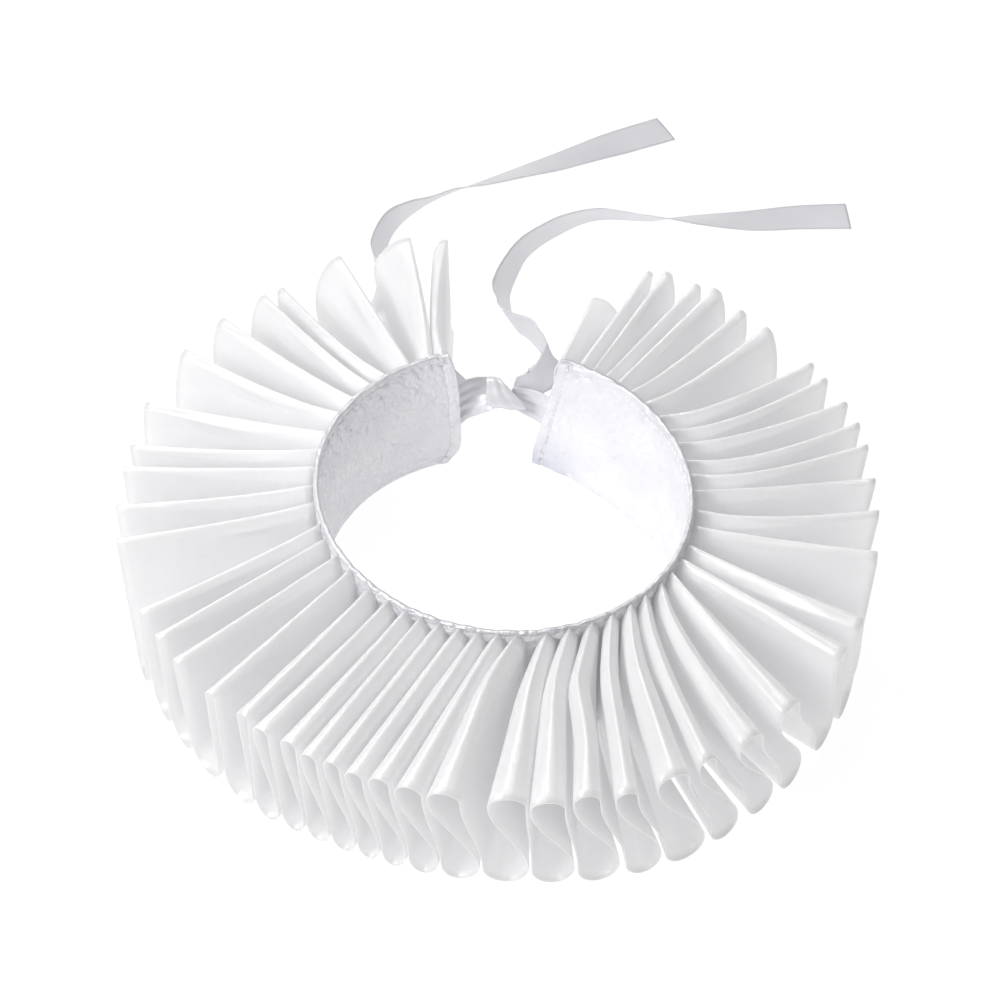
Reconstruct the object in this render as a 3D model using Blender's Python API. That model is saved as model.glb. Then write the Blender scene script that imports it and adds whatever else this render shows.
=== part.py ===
"""A ruff collar in white satin: a stand-up neckband, one long ruffle of fifty standing pleats sewn
round it in four lengths, and two ribbon ties knotted at the back, whose free ends lie behind it.

+Z is up, the centre front faces -Y, and the wearer's left is +X. The collar stands on its own foot
at z = 0. Lengths are in metres. Places round the neck are turns in degrees from the centre front,
positive towards +X, so the two ends of the band meet near 180.
"""

import math
from collections import namedtuple

import bmesh
import bpy
from mathutils import Vector

MM = 0.001

# ---- Driving sizes -----------------------------------------------------------------------------
NECK_RADIUS = 61.4 * MM  # mean radius of the band's inner face
NECK_OVAL = 0.04  # the long half axis stands out by this share of the radius
NECK_TURN = 20.0  # where the long axis points
NECK_CENTRE = (0.3 * MM, 0.25 * MM)  # the neck's centre, seen from the middle of the collar's box
BAND_HEIGHT = 49.5 * MM
BAND_WALL = 1.4 * MM  # two layers of satin over a stiffener
BAND_LEAN = 0.5 * MM  # the foot of the band is this much closer to the neck than its top
CLOTH = 1.0 * MM  # wall of the ruffle
SEAM = 0.55 * MM  # between the ruffle's middle surface and the band it is sewn to
END_SHORT = 0.32 * MM  # each length of the ruffle stops this far short of the next one's seam

# The band's two ends slant: they are closer together at the foot than at the top.
BAND_END_TOP = (-163.0, 163.0)
BAND_END_FOOT = (-167.0, 171.0)
BAND_STEPS = 72  # facets round the band

# ---- The ruffle --------------------------------------------------------------------------------
CREST_REACH = 63.4 * MM  # from the band's inner face to the outer end of a crest
FOOT_REACH = 61.0 * MM  # the same, along the foot of the ruffle
CREST_FREE = 44.7 * MM  # height of the crests at the outer edge, before a fold's own lift
FOOT_SEWN = 2.4 * MM  # height of the lower loops at the band
OUTER_RADIUS = 125.0 * MM  # used to turn a width along the outer edge into an angle
INNER_RADIUS = 65.0 * MM  # the same, along the band
CLEAR = 0.9 * MM  # left between a loop and the middle of the gap beside it
SEWN_HALF = 1.1 * MM  # half width of every loop where it is pinched at the band
FOOT_DEPTH = 6.5 * MM  # height that a lower loop is round over
CREST_DEPTH = 4.0 * MM  # the same, at most, for a crest
LOOP_STEPS = 3  # facets in a quarter of a loop
LEG_STEPS = 4  # facets down a leg
ROWS = (0.0, 0.42, 1.0)  # rows of points from the band to the outer edge
FREE_LEG = 2.6  # degrees that the strip's free ends stand away from the last crests
FREE_FOOT = 4.0 * MM  # height where a free end stops

# Turn, and how high in mm the crests are sewn to the band there.
SewnAt = namedtuple("SewnAt", "turn height")
SEWN_HEIGHTS = [
    SewnAt(-161, 48.8),
    SewnAt(-151, 46),
    SewnAt(-139, 44),
    SewnAt(-125, 44.4),
    SewnAt(-107, 46),
    SewnAt(-83, 47),
    SewnAt(-48, 49.4),
    SewnAt(38, 49.4),
    SewnAt(60, 47.8),
    SewnAt(80, 45.8),
    SewnAt(116, 45.8),
    SewnAt(132, 48.4),
]

# One row for each pleat, from the left end of the band round the front to the right end.
# sewn: turn of the crest at the band. swirl: how far round its outer end lies from there.
# lift: its outer end is this many mm above the usual height.
# open: most half width in mm that its crest opens to at the outer edge.
# slant: degrees that the lower loop after it is pushed on from the middle between two crests.
# foot: mm that this lower loop stands off the table. loop: most half width in mm of that loop.
# tuck: mm that both are drawn in.
# bow: mm that the crest bends sideways on its way out. kink: the same, sharper, near the band.
# belly: mm that the leg after the crest bulges out at the free edge, or before it if negative.
Pleat = namedtuple("Pleat", "sewn swirl lift open slant foot loop tuck bow kink belly")
PLEATS = [
    Pleat(-161.0, -9.5, 1, 3, 0, 6, 7, 0, 1.5, 0, 4),
    Pleat(-156.5, -7.5, 4, 4, 0, 18, 7, 0, 0, 0, 9),
    Pleat(-151.0, -1.5, 3, 3.6, 0, 3, 7, 0, 0, 0, 6),
    Pleat(-145.0, 3, -1, 2.6, 0, 0, 7, 0, 2.5, 0, 0.5),
    Pleat(-139.5, 1, 0, 2.6, 0, 0, 7, 0, 1.8, 0, 4.5),
    Pleat(-132.0, 2, 1, 3.2, 0, 0, 7, 0, 1.3, 0, 3.5),
    Pleat(-125.0, 4, 1, 3.4, 0, 0, 7, -1, 2.6, 0, 4),
    Pleat(-115.0, 7, 1, 3.4, 1, 0, 7, -1, 0.5, 0, 2.5),
    Pleat(-107.0, 8, 0, 2.4, 1, 0, 7, 0, 1.5, 0, 0),
    Pleat(-99.0, 4.8, 0, 2.4, 0, 0, 7, 0, 0.8, 0, 0),
    Pleat(-91.0, 5, 0, 2.6, 0, 0, 7, -1, 1.5, 0, 0),
    Pleat(-83.0, 4, 0, 3, 1, 0, 7, -2, 1.2, 0, 0),
    Pleat(-73.0, 9, 0, 2.8, 0, 0, 7, -2, 0.8, 0, 0),
    Pleat(-66.5, 8, 0, 2.6, 0.5, 0, 7, -1, 0, 0, 0),
    Pleat(-58.0, 5, 0, 2.8, 0.5, 0, 7, -1, 0, 0, 0),
    Pleat(-50.5, 5.8, 1, 3, 1, 0, 7, -1, 0, 0, 0),
    Pleat(-41.2, 2.8, 2, 3, 1.5, 0, 7, 0, 0.5, 0, 0),
    Pleat(-34.0, -1.2, 0, 2.8, 2, 0, 7, 0, 0.6, 0, 0),
    Pleat(-27.7, -3.1, -0.5, 2.8, 2.2, 0, 7, 1.8, 0.4, 0, 0),
    Pleat(-22.6, -4.9, -2.5, 2.8, 3, 0, 7, 1.8, 0, 0, 0),
    Pleat(-17.2, -6.8, -2.5, 2.8, 3.5, 0, 7, 2.8, 0, 0, 0),
    Pleat(-11.5, -9, -3.5, 3, 3.5, 0, 7, 2.8, 0, 0, 0),
    Pleat(-6.0, -10.7, -2.5, 3.4, 4, 0, 7, 2.8, 0, 0, 0),
    Pleat(-0.9, -11.6, -3, 4.4, 4.4, 0, 7, 2.8, -0.5, 0, 0),
    Pleat(4.4, -12, -3, 5.4, 4.6, 0, 8.5, 2.8, -2, -0.4, 0),
    Pleat(12.5, -11, -3, 6.2, 4, 0, 7.5, 2.8, -1, -0.6, 0),
    Pleat(18.7, -11.8, -2.8, 5.4, 5, 0, 7, 1, -2, -0.6, 0),
    Pleat(25.2, -13.2, 0, 4, 6.2, 0, 5.6, 0, -1, -3, 0),
    Pleat(31.5, -14.1, -0.8, 3.4, 6.3, 0, 7, -1, -1.6, -0.8, 0),
    Pleat(37.7, -13.5, 0.5, 5.2, 7.2, 0, 5.2, -0.3, -1.8, -0.6, 0),
    Pleat(43.5, -13.8, 0, 3, 7.9, 0, 5.2, 1.2, -2.4, 0, 0),
    Pleat(50.5, -13.3, 0, 4.6, 7, 0, 5.2, 1, -3.2, 0, 0),
    Pleat(56.0, -10.8, 0, 4.6, 5.7, 0, 6, 2, -0.6, 0, 0),
    Pleat(62.5, -4, 0, 3.6, 3.5, 0, 7, 1, 0, 0, 0),
    Pleat(69.0, -4, 0, 3.4, 3, 0, 7, 1, -0.5, 0, 0),
    Pleat(77.5, 1.5, 0, 3.4, 2, 0, 7, 3, -0.5, 0, 0),
    Pleat(84.5, 3.5, 0, 3.2, 2, 0, 7, 2, -3, 0, 0),
    Pleat(92.5, 3, -1, 2.8, 1, 0, 7, 1, -0.5, 0, 0),
    Pleat(99.5, 3, 0, 2.8, 1, 0, 7, 0, -3.6, 0, 0),
    Pleat(106.0, 1, 1, 2.6, 0, 0, 7, 0, -4.4, 0, 0),
    Pleat(114.0, -2, 1, 2.8, 0, 0, 7, 0, -3.2, 0, 0),
    Pleat(119.5, -1, 0, 2.8, 0, 0, 7, 0, -4, 0, 0),
    Pleat(125.5, -3, 0, 3, 0, 0, 7, 0, -3.6, 0, 0),
    Pleat(131.5, 2, -1, 3, 0, 0, 7, 0, -2.4, 0, -4.5),
    Pleat(138.0, 1, -1, 2.8, 0, 0, 7, 0, -1.6, 0, -2),
    Pleat(143.5, 1, 2, 2.8, 0, 0, 7, 0, 0, 0, -4),
    Pleat(148.0, 0, 0, 2.6, 0, 0, 7, 0, 0, 0, -1),
    Pleat(152.5, 1, 0, 2.8, 0, 0, 7, 0, 0, 0, -2.5),
    Pleat(156.5, 0, -2, 2.4, 0, 0, 7, 1, 0, 0, 0),
    Pleat(162.5, 2.5, -18, 2.2, 0, 0, 7, 6, 0, 0, -2),
]
STRIP_ENDS = (12, 25, 37, 50)  # the last pleat of each of the four lengths

# ---- The ribbon ties ---------------------------------------------------------------------------
RIBBON_WALL = 1.0 * MM
RIBBON_STEP = 5.0 * MM  # between the sections of a ribbon
KNOT_AT = (1.9 * MM, 66.6 * MM, 29.0 * MM)
KNOT_HALF = (7.0 * MM, 4.4 * MM, 6.4 * MM)

# A ribbon follows a smooth line through these points, in mm. lean is the angle in degrees between
# the ribbon's width and the table, about the way that it runs: 0 lies flat, 90 stands on edge.
Point = namedtuple("Point", "x y z lean wide")
TIE_LEFT = [
    Point(-17.3, 63.55, 22.5, 90, 17),
    Point(-14.0, 64.9, 23.2, 90, 16),
    Point(-10.0, 66.3, 25.5, 90, 12.5),
    Point(-5.5, 66.6, 28.0, 90, 10),
]
TIE_RIGHT = [
    Point(9.3, 66.6, 28.2, 90, 8),
    Point(12.4, 65.4, 26.8, 90, 9.5),
    Point(16.0, 62.45, 25.2, 90, 12),
]
TAIL_RIGHT = [
    Point(7.2, 70.4, 30.0, 88, 8),
    Point(12.0, 71.4, 31.5, 92, 13),
    Point(14.6, 73.5, 33.5, 100, 15),
    Point(15.9, 77.6, 37.0, 108, 15),
    Point(13.7, 81.4, 36.5, 104, 15),
    Point(10.7, 89.1, 33.5, 102, 15),
    Point(6.8, 97.6, 29.0, 113, 15),
    Point(3.8, 105.5, 24.5, 122, 15),
    Point(1.5, 114.1, 19.5, 122, 15),
    Point(0.4, 121.6, 15.5, 118, 15),
    Point(-0.8, 129.2, 12.0, 119, 15),
    Point(-1.2, 135.3, 9.8, 120, 15),
    Point(-1.3, 140.8, 8.2, 115, 15),
    Point(-0.4, 149.2, 7.6, 104, 15),
    Point(3.9, 161.3, 7.8, 93, 15),
    Point(9.5, 170.6, 7.7, 79, 15),
    Point(19.7, 180.5, 7.4, 70, 15),
    Point(34.6, 188.3, 6.7, 56, 15),
    Point(53.5, 187.4, 5.9, 47, 15),
    Point(68.5, 189.2, 4.1, 29, 15),
    Point(91.0, 191.9, 2.0, 11, 15),
    Point(110.0, 195.6, 1.1, 4, 15),
    Point(128.8, 197.2, 0.8, 1, 15),
]
TAIL_LEFT = [
    Point(-1.0, 71.4, 25.0, 70, 9),
    Point(-4.5, 74.0, 19.5, 50, 11),
    Point(-7.0, 79.5, 10.0, 22, 14),
    Point(-10.5, 86.5, 2.8, 5, 15),
    Point(-16.5, 93.5, 0.9, 0, 15),
    Point(-24.5, 103.5, 0.9, 0, 15),
    Point(-31.7, 113.0, 0.9, 0, 15),
    Point(-38.5, 123.5, 1.4, 5, 15),
    Point(-43.1, 134.0, 4.7, 33, 15),
    Point(-45.9, 144.0, 7.4, 70, 15),
    Point(-47.5, 155.5, 7.7, 103, 15),
    Point(-47.2, 164.1, 7.7, 107, 15),
    Point(-44.6, 176.8, 7.8, 92, 15),
    Point(-38.9, 185.3, 7.5, 72, 15),
    Point(-31.5, 192.5, 6.6, 55, 15),
    Point(-22.3, 200.3, 5.9, 47, 15),
    Point(-9.7, 207.1, 4.8, 35, 15),
    Point(3.1, 214.5, 3.9, 27, 15),
    Point(16.1, 222.2, 2.8, 18, 15),
    Point(29.1, 230.3, 2.0, 11, 15),
    Point(42.2, 238.7, 0.95, 3, 15),
    Point(61.0, 248.3, 0.8, 1, 15),
]

# ---- Finishes: name, base colour, roughness ------------------------------------------------------
SATIN = ("satin", (0.86, 0.86, 0.88, 1.0), 0.32)
BAND_SATIN = ("band_satin", (0.83, 0.83, 0.86, 1.0), 0.38)
RIBBON_SATIN = ("ribbon_satin", (0.84, 0.84, 0.87, 1.0), 0.30)


# ---- Helpers -------------------------------------------------------------------------------------
def clear_scene():
    for old in list(bpy.data.objects):
        bpy.data.objects.remove(old, do_unlink=True)


def material(name, colour, roughness):
    """A Principled material, made once and shared by every piece of that cloth."""
    found = bpy.data.materials.get(name)
    if found:
        return found
    made = bpy.data.materials.new(name)
    made.use_nodes = True
    shader = made.node_tree.nodes["Principled BSDF"]
    shader.inputs["Base Color"].default_value = colour
    shader.inputs["Roughness"].default_value = roughness
    shader.inputs["Metallic"].default_value = 0.0
    return made


def add_piece(name, mesh_data, finish):
    """Links a bmesh to the scene as one named object with its material."""
    bmesh.ops.recalc_face_normals(mesh_data, faces=mesh_data.faces[:])
    mesh = bpy.data.meshes.new(name)
    mesh_data.to_mesh(mesh)
    mesh_data.free()
    mesh.shade_smooth()
    mesh.set_sharp_from_angle(angle=math.radians(50))
    mesh.materials.append(material(*finish))
    piece = bpy.data.objects.new(name, mesh)
    bpy.context.scene.collection.objects.link(piece)
    return piece


def mix(a, b, share):
    return a + (b - a) * share


def ease(share):
    """A smooth step from 0 to 1, level at both ends."""
    return share * share * (3 - 2 * share)


def neck_radius(turn):
    return NECK_RADIUS * (1 + NECK_OVAL * math.cos(math.radians(2 * (turn - NECK_TURN))))


def band_radius(turn, height):
    """Radius of the band's inner face at a height."""
    return neck_radius(turn) - BAND_LEAN * (1 - height / BAND_HEIGHT)


def place(turn, radius, height):
    angle = math.radians(turn)
    x = NECK_CENTRE[0] + radius * math.sin(angle)
    y = NECK_CENTRE[1] - radius * math.cos(angle)
    return Vector((x, y, height))


def wall_from_grid(middle, wall, level_ends=(False, False)):
    """A closed wall of an even thickness about a grid of points: rows of equal length.

    A level end is one that stops half way through a loop, where the cloth lies level.
    """
    rows, columns = len(middle), len(middle[0])
    mesh = bmesh.new()
    sides = ([], [])
    for r in range(rows):
        for side in sides:
            side.append([])
        for c in range(columns):
            along = middle[r][min(c + 1, columns - 1)] - middle[r][max(c - 1, 0)]
            if (c == 0 and level_ends[0]) or (c == columns - 1 and level_ends[1]):
                along.z = 0
            across = middle[min(r + 1, rows - 1)][c] - middle[max(r - 1, 0)][c]
            normal = along.cross(across).normalized() * (wall / 2)
            sides[0][r].append(mesh.verts.new(middle[r][c] + normal))
            sides[1][r].append(mesh.verts.new(middle[r][c] - normal))
    for r in range(rows - 1):
        for c in range(columns - 1):
            for side in sides:
                mesh.faces.new((side[r][c], side[r][c + 1], side[r + 1][c + 1], side[r + 1][c]))
    front, back = sides
    for c in range(columns - 1):
        for r in (0, rows - 1):
            mesh.faces.new((front[r][c], front[r][c + 1], back[r][c + 1], back[r][c]))
    for r in range(rows - 1):
        for c in (0, columns - 1):
            mesh.faces.new((front[r][c], front[r + 1][c], back[r + 1][c], back[r][c]))
    return mesh


# ---- Neckband ------------------------------------------------------------------------------------
def make_neckband():
    """An upright wall whose ends slant, flat along its foot so that the collar stands on it."""
    mesh = bmesh.new()
    rings = []
    for step in range(BAND_STEPS + 1):
        share = step / BAND_STEPS
        ring = []
        for height, ends in ((0.0, BAND_END_FOOT), (BAND_HEIGHT, BAND_END_TOP)):
            turn = mix(ends[0], ends[1], share)
            inner = band_radius(turn, height)
            ring.append([mesh.verts.new(place(turn, inner + out, height)) for out in (0.0, BAND_WALL)])
        rings.append(ring)
    for here, beyond in zip(rings, rings[1:]):
        (foot_in, foot_out), (top_in, top_out) = here
        (next_foot_in, next_foot_out), (next_top_in, next_top_out) = beyond
        mesh.faces.new((foot_in, next_foot_in, next_top_in, top_in))
        mesh.faces.new((foot_out, next_foot_out, next_top_out, top_out))
        mesh.faces.new((foot_in, next_foot_in, next_foot_out, foot_out))
        mesh.faces.new((top_in, next_top_in, next_top_out, top_out))
    for (foot_in, foot_out), (top_in, top_out) in (rings[0], rings[-1]):
        mesh.faces.new((foot_in, foot_out, top_out, top_in))
    return add_piece("neckband", mesh, BAND_SATIN)


# ---- Ruffle --------------------------------------------------------------------------------------
def half_width(centres, index, side, most):
    """How far a loop opens towards its neighbour on one side at the outer edge, in metres."""
    other = index + side
    if not 0 <= other < len(centres):
        return most
    apart = math.radians(abs(centres[index] - centres[other])) * OUTER_RADIUS
    return min(most, apart / 2 - CLEAR)


def half_pleat(way, crest_turn, crest_half, crest_top, foot_turn, foot_half, foot_low, radius,
               belly=0.0):
    """(turn, height) down one leg, from the top of a crest to the bottom of the lower loop.

    way is 1 for the leg after the crest and -1 for the one before it.
    """
    per_metre = math.degrees(1 / radius)
    crest_depth = min(crest_half, CREST_DEPTH)
    foot_depth = foot_half if foot_half <= SEWN_HALF else FOOT_DEPTH
    points = []
    for step in range(LOOP_STEPS + 1):
        angle = math.radians(90 * step / LOOP_STEPS)
        turn = crest_turn + way * crest_half * math.sin(angle) * per_metre
        points.append((turn, crest_top - crest_depth * (1 - math.cos(angle))))
    leg_from, leg_to = points[-1][0], foot_turn - way * foot_half * per_metre
    for step in range(1, LEG_STEPS):
        share = step / LEG_STEPS
        height = mix(crest_top - crest_depth, foot_low + foot_depth, share)
        points.append((mix(leg_from, leg_to, ease(share)), height))
    for step in range(LOOP_STEPS + 1):
        angle = math.radians(90 * step / LOOP_STEPS)
        turn = foot_turn - way * foot_half * math.cos(angle) * per_metre
        points.append((turn, foot_low + foot_depth * (1 - math.sin(angle))))
    last = len(points) - 1
    return [(turn + way * belly * per_metre * math.sin(math.pi * (step / last) ** 0.6), height)
            for step, (turn, height) in enumerate(points)]


def sewn_height(turn):
    """How high the crest at a turn is sewn to the band."""
    for near, far in zip(SEWN_HEIGHTS, SEWN_HEIGHTS[1:]):
        if turn <= far.turn:
            share = max(0.0, (turn - near.turn) / (far.turn - near.turn))
            return mix(near.height, far.height, share) * MM
    return SEWN_HEIGHTS[-1].height * MM


def edge_outline(first, last, free_edge):
    """The folded edge of pleats first to last, along the band or along the outer edge."""
    sewn = [pleat.sewn for pleat in PLEATS]
    free = [pleat.sewn + pleat.swirl for pleat in PLEATS]
    foot_sewn = [(a + b) / 2 for a, b in zip(sewn, sewn[1:])]
    foot_free = [(a + b) / 2 + pleat.slant for a, b, pleat in zip(free, free[1:], PLEATS)]
    crests, feet = (free, foot_free) if free_edge else (sewn, foot_sewn)
    radius = OUTER_RADIUS if free_edge else INNER_RADIUS
    outline = []
    for index in range(first, last + 1):
        pleat = PLEATS[index]
        top = CREST_FREE + pleat.lift * MM if free_edge else sewn_height(pleat.sewn)
        for way, other in ((-1, index - 1), (1, index)):
            crest_wide, foot_wide, low, belly = SEWN_HALF, SEWN_HALF, FOOT_SEWN, 0.0
            if free_edge:
                crest_wide = half_width(free, index, way, pleat.open * MM)
                belly = max(0.0, way * pleat.belly) * MM
            if other < 0 or other == len(PLEATS) - 1:
                foot_turn, low = crests[index] + way * FREE_LEG, FREE_FOOT
            else:
                foot_turn = feet[other]
                if free_edge:
                    low = CLOTH / 2 + PLEATS[other].foot * MM
                    foot_wide = half_width(foot_free, other, -way, PLEATS[other].loop * MM)
            if other == first - 1 or other == last:
                # This is an end of the strip: its last loop stops short of the next strip's edge.
                foot_turn -= way * math.degrees(END_SHORT / radius)
            leg = half_pleat(way, crests[index], crest_wide, top, foot_turn, foot_wide, low, radius,
                             belly)
            # The bottom of a lower loop belongs to the leg that starts the next pleat.
            outline += list(reversed(leg)) if way < 0 else leg[1:-1]
    return outline + [leg[-1]]


def make_strip(number, first, last):
    """One length of the ruffle: threads from the folded inner edge to the outer one."""
    inner = edge_outline(first, last, False)
    outer = edge_outline(first, last, True)
    half = (len(outer) - 1) // (2 * (last - first + 1))  # columns in half a pleat
    tucks = [PLEATS[index].tuck * MM for index in range(first, last + 1)]
    threads = []
    for column, ((turn_in, height_in), (turn_out, height_out)) in enumerate(zip(inner, outer)):
        start = place(turn_in, band_radius(turn_in, height_in) + BAND_WALL + SEAM, height_in)
        along = column / (len(outer) - 1) * (len(tucks) - 1)
        tuck = mix(tucks[int(along)], tucks[min(int(along) + 1, len(tucks) - 1)], along % 1)
        up = min(height_out / CREST_FREE, 1.0)
        reach = neck_radius(turn_out) + mix(FOOT_REACH, CREST_REACH, up) - tuck
        threads.append((start, place(turn_out, reach, height_out)))
    rows = []
    for share in ROWS:
        bell = math.sin(math.pi * share ** 0.75)
        sharp = max(0.0, 1 - abs(share - 0.33) / 0.3)
        row = []
        for column, (start, end) in enumerate(threads):
            pleat = min(column // (2 * half), last - first)
            down = abs(column - (2 * pleat + 1) * half) / half
            crest = threads[(2 * pleat + 1) * half]
            run = (crest[1] - crest[0]).to_2d().normalized()
            bend = PLEATS[first + pleat]
            sway = (bend.bow * bell + bend.kink * sharp) * MM * (1 - ease(down))
            row.append(start.lerp(end, share) + Vector((-run.y, run.x, 0)) * sway)
        rows.append(row)
    wall = wall_from_grid(rows, CLOTH, level_ends=(first > 0, last < len(PLEATS) - 1))
    return add_piece(f"ruffle_strip_{number}", wall, SATIN)


# ---- Ribbons -------------------------------------------------------------------------------------
def smooth_between(before, start, end, after, share):
    """A Catmull-Rom spline's value between start and end."""
    return 0.5 * (
        2 * start + (end - before) * share
        + (2 * before - 5 * start + 4 * end - after) * share ** 2
        + (3 * start - before - 3 * end + after) * share ** 3
    )


def follow(route):
    """(place, lean, width) about every RIBBON_STEP along the smooth line through a route."""
    found = []
    padded = [route[0]] + route + [route[-1]]
    for before, start, end, after in zip(padded, padded[1:], padded[2:], padded[3:]):
        length = math.dist(start[:3], end[:3]) * MM
        steps = max(1, round(length / RIBBON_STEP))
        for step in range(steps):
            share = step / steps
            found.append([smooth_between(*values, share) for values in zip(before, start, end, after)])
    found.append(list(route[-1]))
    return [(Vector(row[:3]) * MM, math.radians(row[3]), row[4] * MM) for row in found]


def make_ribbon(name, route, plumb=False):
    """A flat ribbon along a route: a wall two points wide, its width turned by the lean.

    A plumb ribbon keeps its width upright where it climbs, so that its ends are upright too.
    """
    stations = follow(route)
    rows = []
    for index, (centre, lean, wide) in enumerate(stations):
        behind = stations[max(index - 1, 0)][0]
        ahead = stations[min(index + 1, len(stations) - 1)][0]
        run = (ahead - behind).normalized()
        side = run.cross(Vector((0, 0, 1))).normalized()
        up = Vector((0, 0, 1)) if plumb else side.cross(run)
        across = (side * math.cos(lean) + up * math.sin(lean)) * (wide / 2)
        rows.append([centre - across, centre + across])
    return add_piece(name, wall_from_grid(rows, RIBBON_WALL), RIBBON_SATIN)


def make_knot():
    """The knot, a rounded lump a little flatter than a ball."""
    mesh = bmesh.new()
    bmesh.ops.create_uvsphere(mesh, u_segments=16, v_segments=10, radius=1.0)
    for vertex in mesh.verts:
        x, y, z = vertex.co
        vertex.co = Vector((x * KNOT_HALF[0], y * KNOT_HALF[1], z * KNOT_HALF[2]))
        vertex.co += Vector(KNOT_AT)
    return add_piece("tie_knot", mesh, RIBBON_SATIN)


def main():
    clear_scene()
    make_neckband()
    first = 0
    for number, count in enumerate(STRIP_ENDS, start=1):
        make_strip(number, first, count - 1)
        first = count
    make_ribbon("tie_left", TIE_LEFT, plumb=True)
    make_ribbon("tie_right", TIE_RIGHT, plumb=True)
    make_knot()
    make_ribbon("tail_left", TAIL_LEFT)
    make_ribbon("tail_right", TAIL_RIGHT)


main()
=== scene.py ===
# %% [markdown]
# # A satin ruff collar
#
# A ruff is a long strip of cloth folded into standing pleats and sewn to a neckband. This one is
# white polyester satin: fifty pleats, a stiffened band, and two ribbon ties knotted at the nape.
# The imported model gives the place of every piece, in metres. This lesson dresses it: each solid
# is replaced by a thin cloth with its own creases, stitches and sheen.

import math
from collections import namedtuple

import bmesh
import bpy
import numpy as np
from mathutils import Matrix, Vector


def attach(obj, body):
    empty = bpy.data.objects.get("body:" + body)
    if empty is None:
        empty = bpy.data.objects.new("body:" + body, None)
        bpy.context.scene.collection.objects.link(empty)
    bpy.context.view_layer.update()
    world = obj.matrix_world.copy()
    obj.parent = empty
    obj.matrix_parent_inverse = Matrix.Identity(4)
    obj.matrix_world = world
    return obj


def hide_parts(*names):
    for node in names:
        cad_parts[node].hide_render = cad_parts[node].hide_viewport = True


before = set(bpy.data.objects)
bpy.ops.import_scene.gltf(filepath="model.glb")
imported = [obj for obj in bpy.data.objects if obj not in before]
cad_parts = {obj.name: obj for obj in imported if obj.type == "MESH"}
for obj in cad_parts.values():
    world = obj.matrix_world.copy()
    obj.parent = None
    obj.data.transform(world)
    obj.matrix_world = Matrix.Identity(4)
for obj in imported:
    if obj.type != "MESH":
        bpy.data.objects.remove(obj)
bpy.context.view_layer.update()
MM = 0.001
print("nodes:", ", ".join(sorted(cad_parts)))

# %% [markdown]
# ## The camera
#
# The collar is looked at from in front and from above, through a long lens, so the far side is
# nearly as large as the near side. A camera is a matrix with four columns: its right, its up, the
# way back from what it looks at, and its place. Building the matrix by hand keeps the small roll
# exact, which a Track To constraint can't do.

# %% Camera
LOOK_AT = Vector((-0.7, 17.6, 25.0)) * MM
LOOK_DOWN = math.radians(45.0)
LOOK_ROLL = math.radians(-1.17)
LOOK_FROM = 1.0
LENS_MM = 108.94
SENSOR_MM = 36.0


def camera_matrix(target, down, roll, distance):
    """A camera that looks along +Y and down, turned a little about its own axis."""
    right = Vector((1, 0, 0))
    up = Vector((0, math.sin(down), math.cos(down)))
    back = Vector((0, -math.cos(down), math.sin(down)))
    rolled_right = right * math.cos(roll) - up * math.sin(roll)
    rolled_up = right * math.sin(roll) + up * math.cos(roll)
    columns = (rolled_right, rolled_up, back, target + back * distance)
    return Matrix([[*(column[row] for column in columns)] for row in range(3)] + [[0, 0, 0, 1]])


camera_data = bpy.data.cameras.new("camera")
camera_data.lens = LENS_MM
camera_data.sensor_width = SENSOR_MM
camera = bpy.data.objects.new("camera", camera_data)
camera.matrix_world = camera_matrix(LOOK_AT, LOOK_DOWN, LOOK_ROLL, LOOK_FROM)
bpy.context.scene.collection.objects.link(camera)
bpy.context.scene.camera = camera
print("camera at", [round(value, 3) for value in camera.matrix_world.translation])

# %% [markdown]
# ## One way to make every cloth
#
# Each cloth here is known along a few guide lines that run its whole length: the line where the
# ruffle is sewn on, its free edge and some between, or the two edges of a ribbon. It could be
# modelled face by face, but a Geometry Nodes tree does it once for all of them. The tree takes
# the guide points, lays a grid with the same number of columns, and moves each grid point to a
# smooth curve (a Catmull-Rom spline) across the guide lines. A little noise keeps it from
# looking pressed by a machine.

# %% A helper for node trees
def add_node(tree, kind, settings=None, inputs=None):
    """Add a node, set its own settings, and give its inputs values or links."""
    node = tree.nodes.new(kind)
    for name, value in (settings or {}).items():
        setattr(node, name, value)
    for key, value in (inputs or {}).items():
        if isinstance(value, bpy.types.NodeSocket):
            tree.links.new(value, node.inputs[key])
        else:
            node.inputs[key].default_value = value
    return node


# %% The cloth tree
# The shares of four neighbouring points in a Catmull-Rom spline, at t between the middle two:
# each is a cubic of t, given by its coefficients from the cube down.
SPLINE_SHARES = {
    -1: (-0.5, 1.0, -0.5, 0.0),
    0: (1.5, -2.5, 0.0, 1.0),
    1: (-1.5, 2.0, 0.5, 0.0),
    2: (0.5, -0.5, 0.0, 0.0),
}
# Where each point of the grid belongs, worked out by one Math node for each line: the result's
# name, the operation and what goes in. A grid counts its points row by row inside each column.
GRID_SUMS = (
    ("columns", "DIVIDE", "guide points", "lines"),
    ("columns done", "DIVIDE", "index", "rows"),
    ("column", "FLOOR", "columns done"),
    ("row", "MODULO", "index", "rows"),
    ("last row", "SUBTRACT", "rows", 1.0),
    ("share", "DIVIDE", "row", "last row"),
    ("last line", "SUBTRACT", "lines", 1.0),
    ("station", "MULTIPLY", "share", "last line"),
    ("line passed", "FLOOR", "station"),
    ("line before last", "SUBTRACT", "last line", 1.0),
    ("line", "MINIMUM", "line passed", "line before last"),
    ("between", "SUBTRACT", "station", "line"),
    ("across", "MULTIPLY", "share", "depth"),
)


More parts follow.
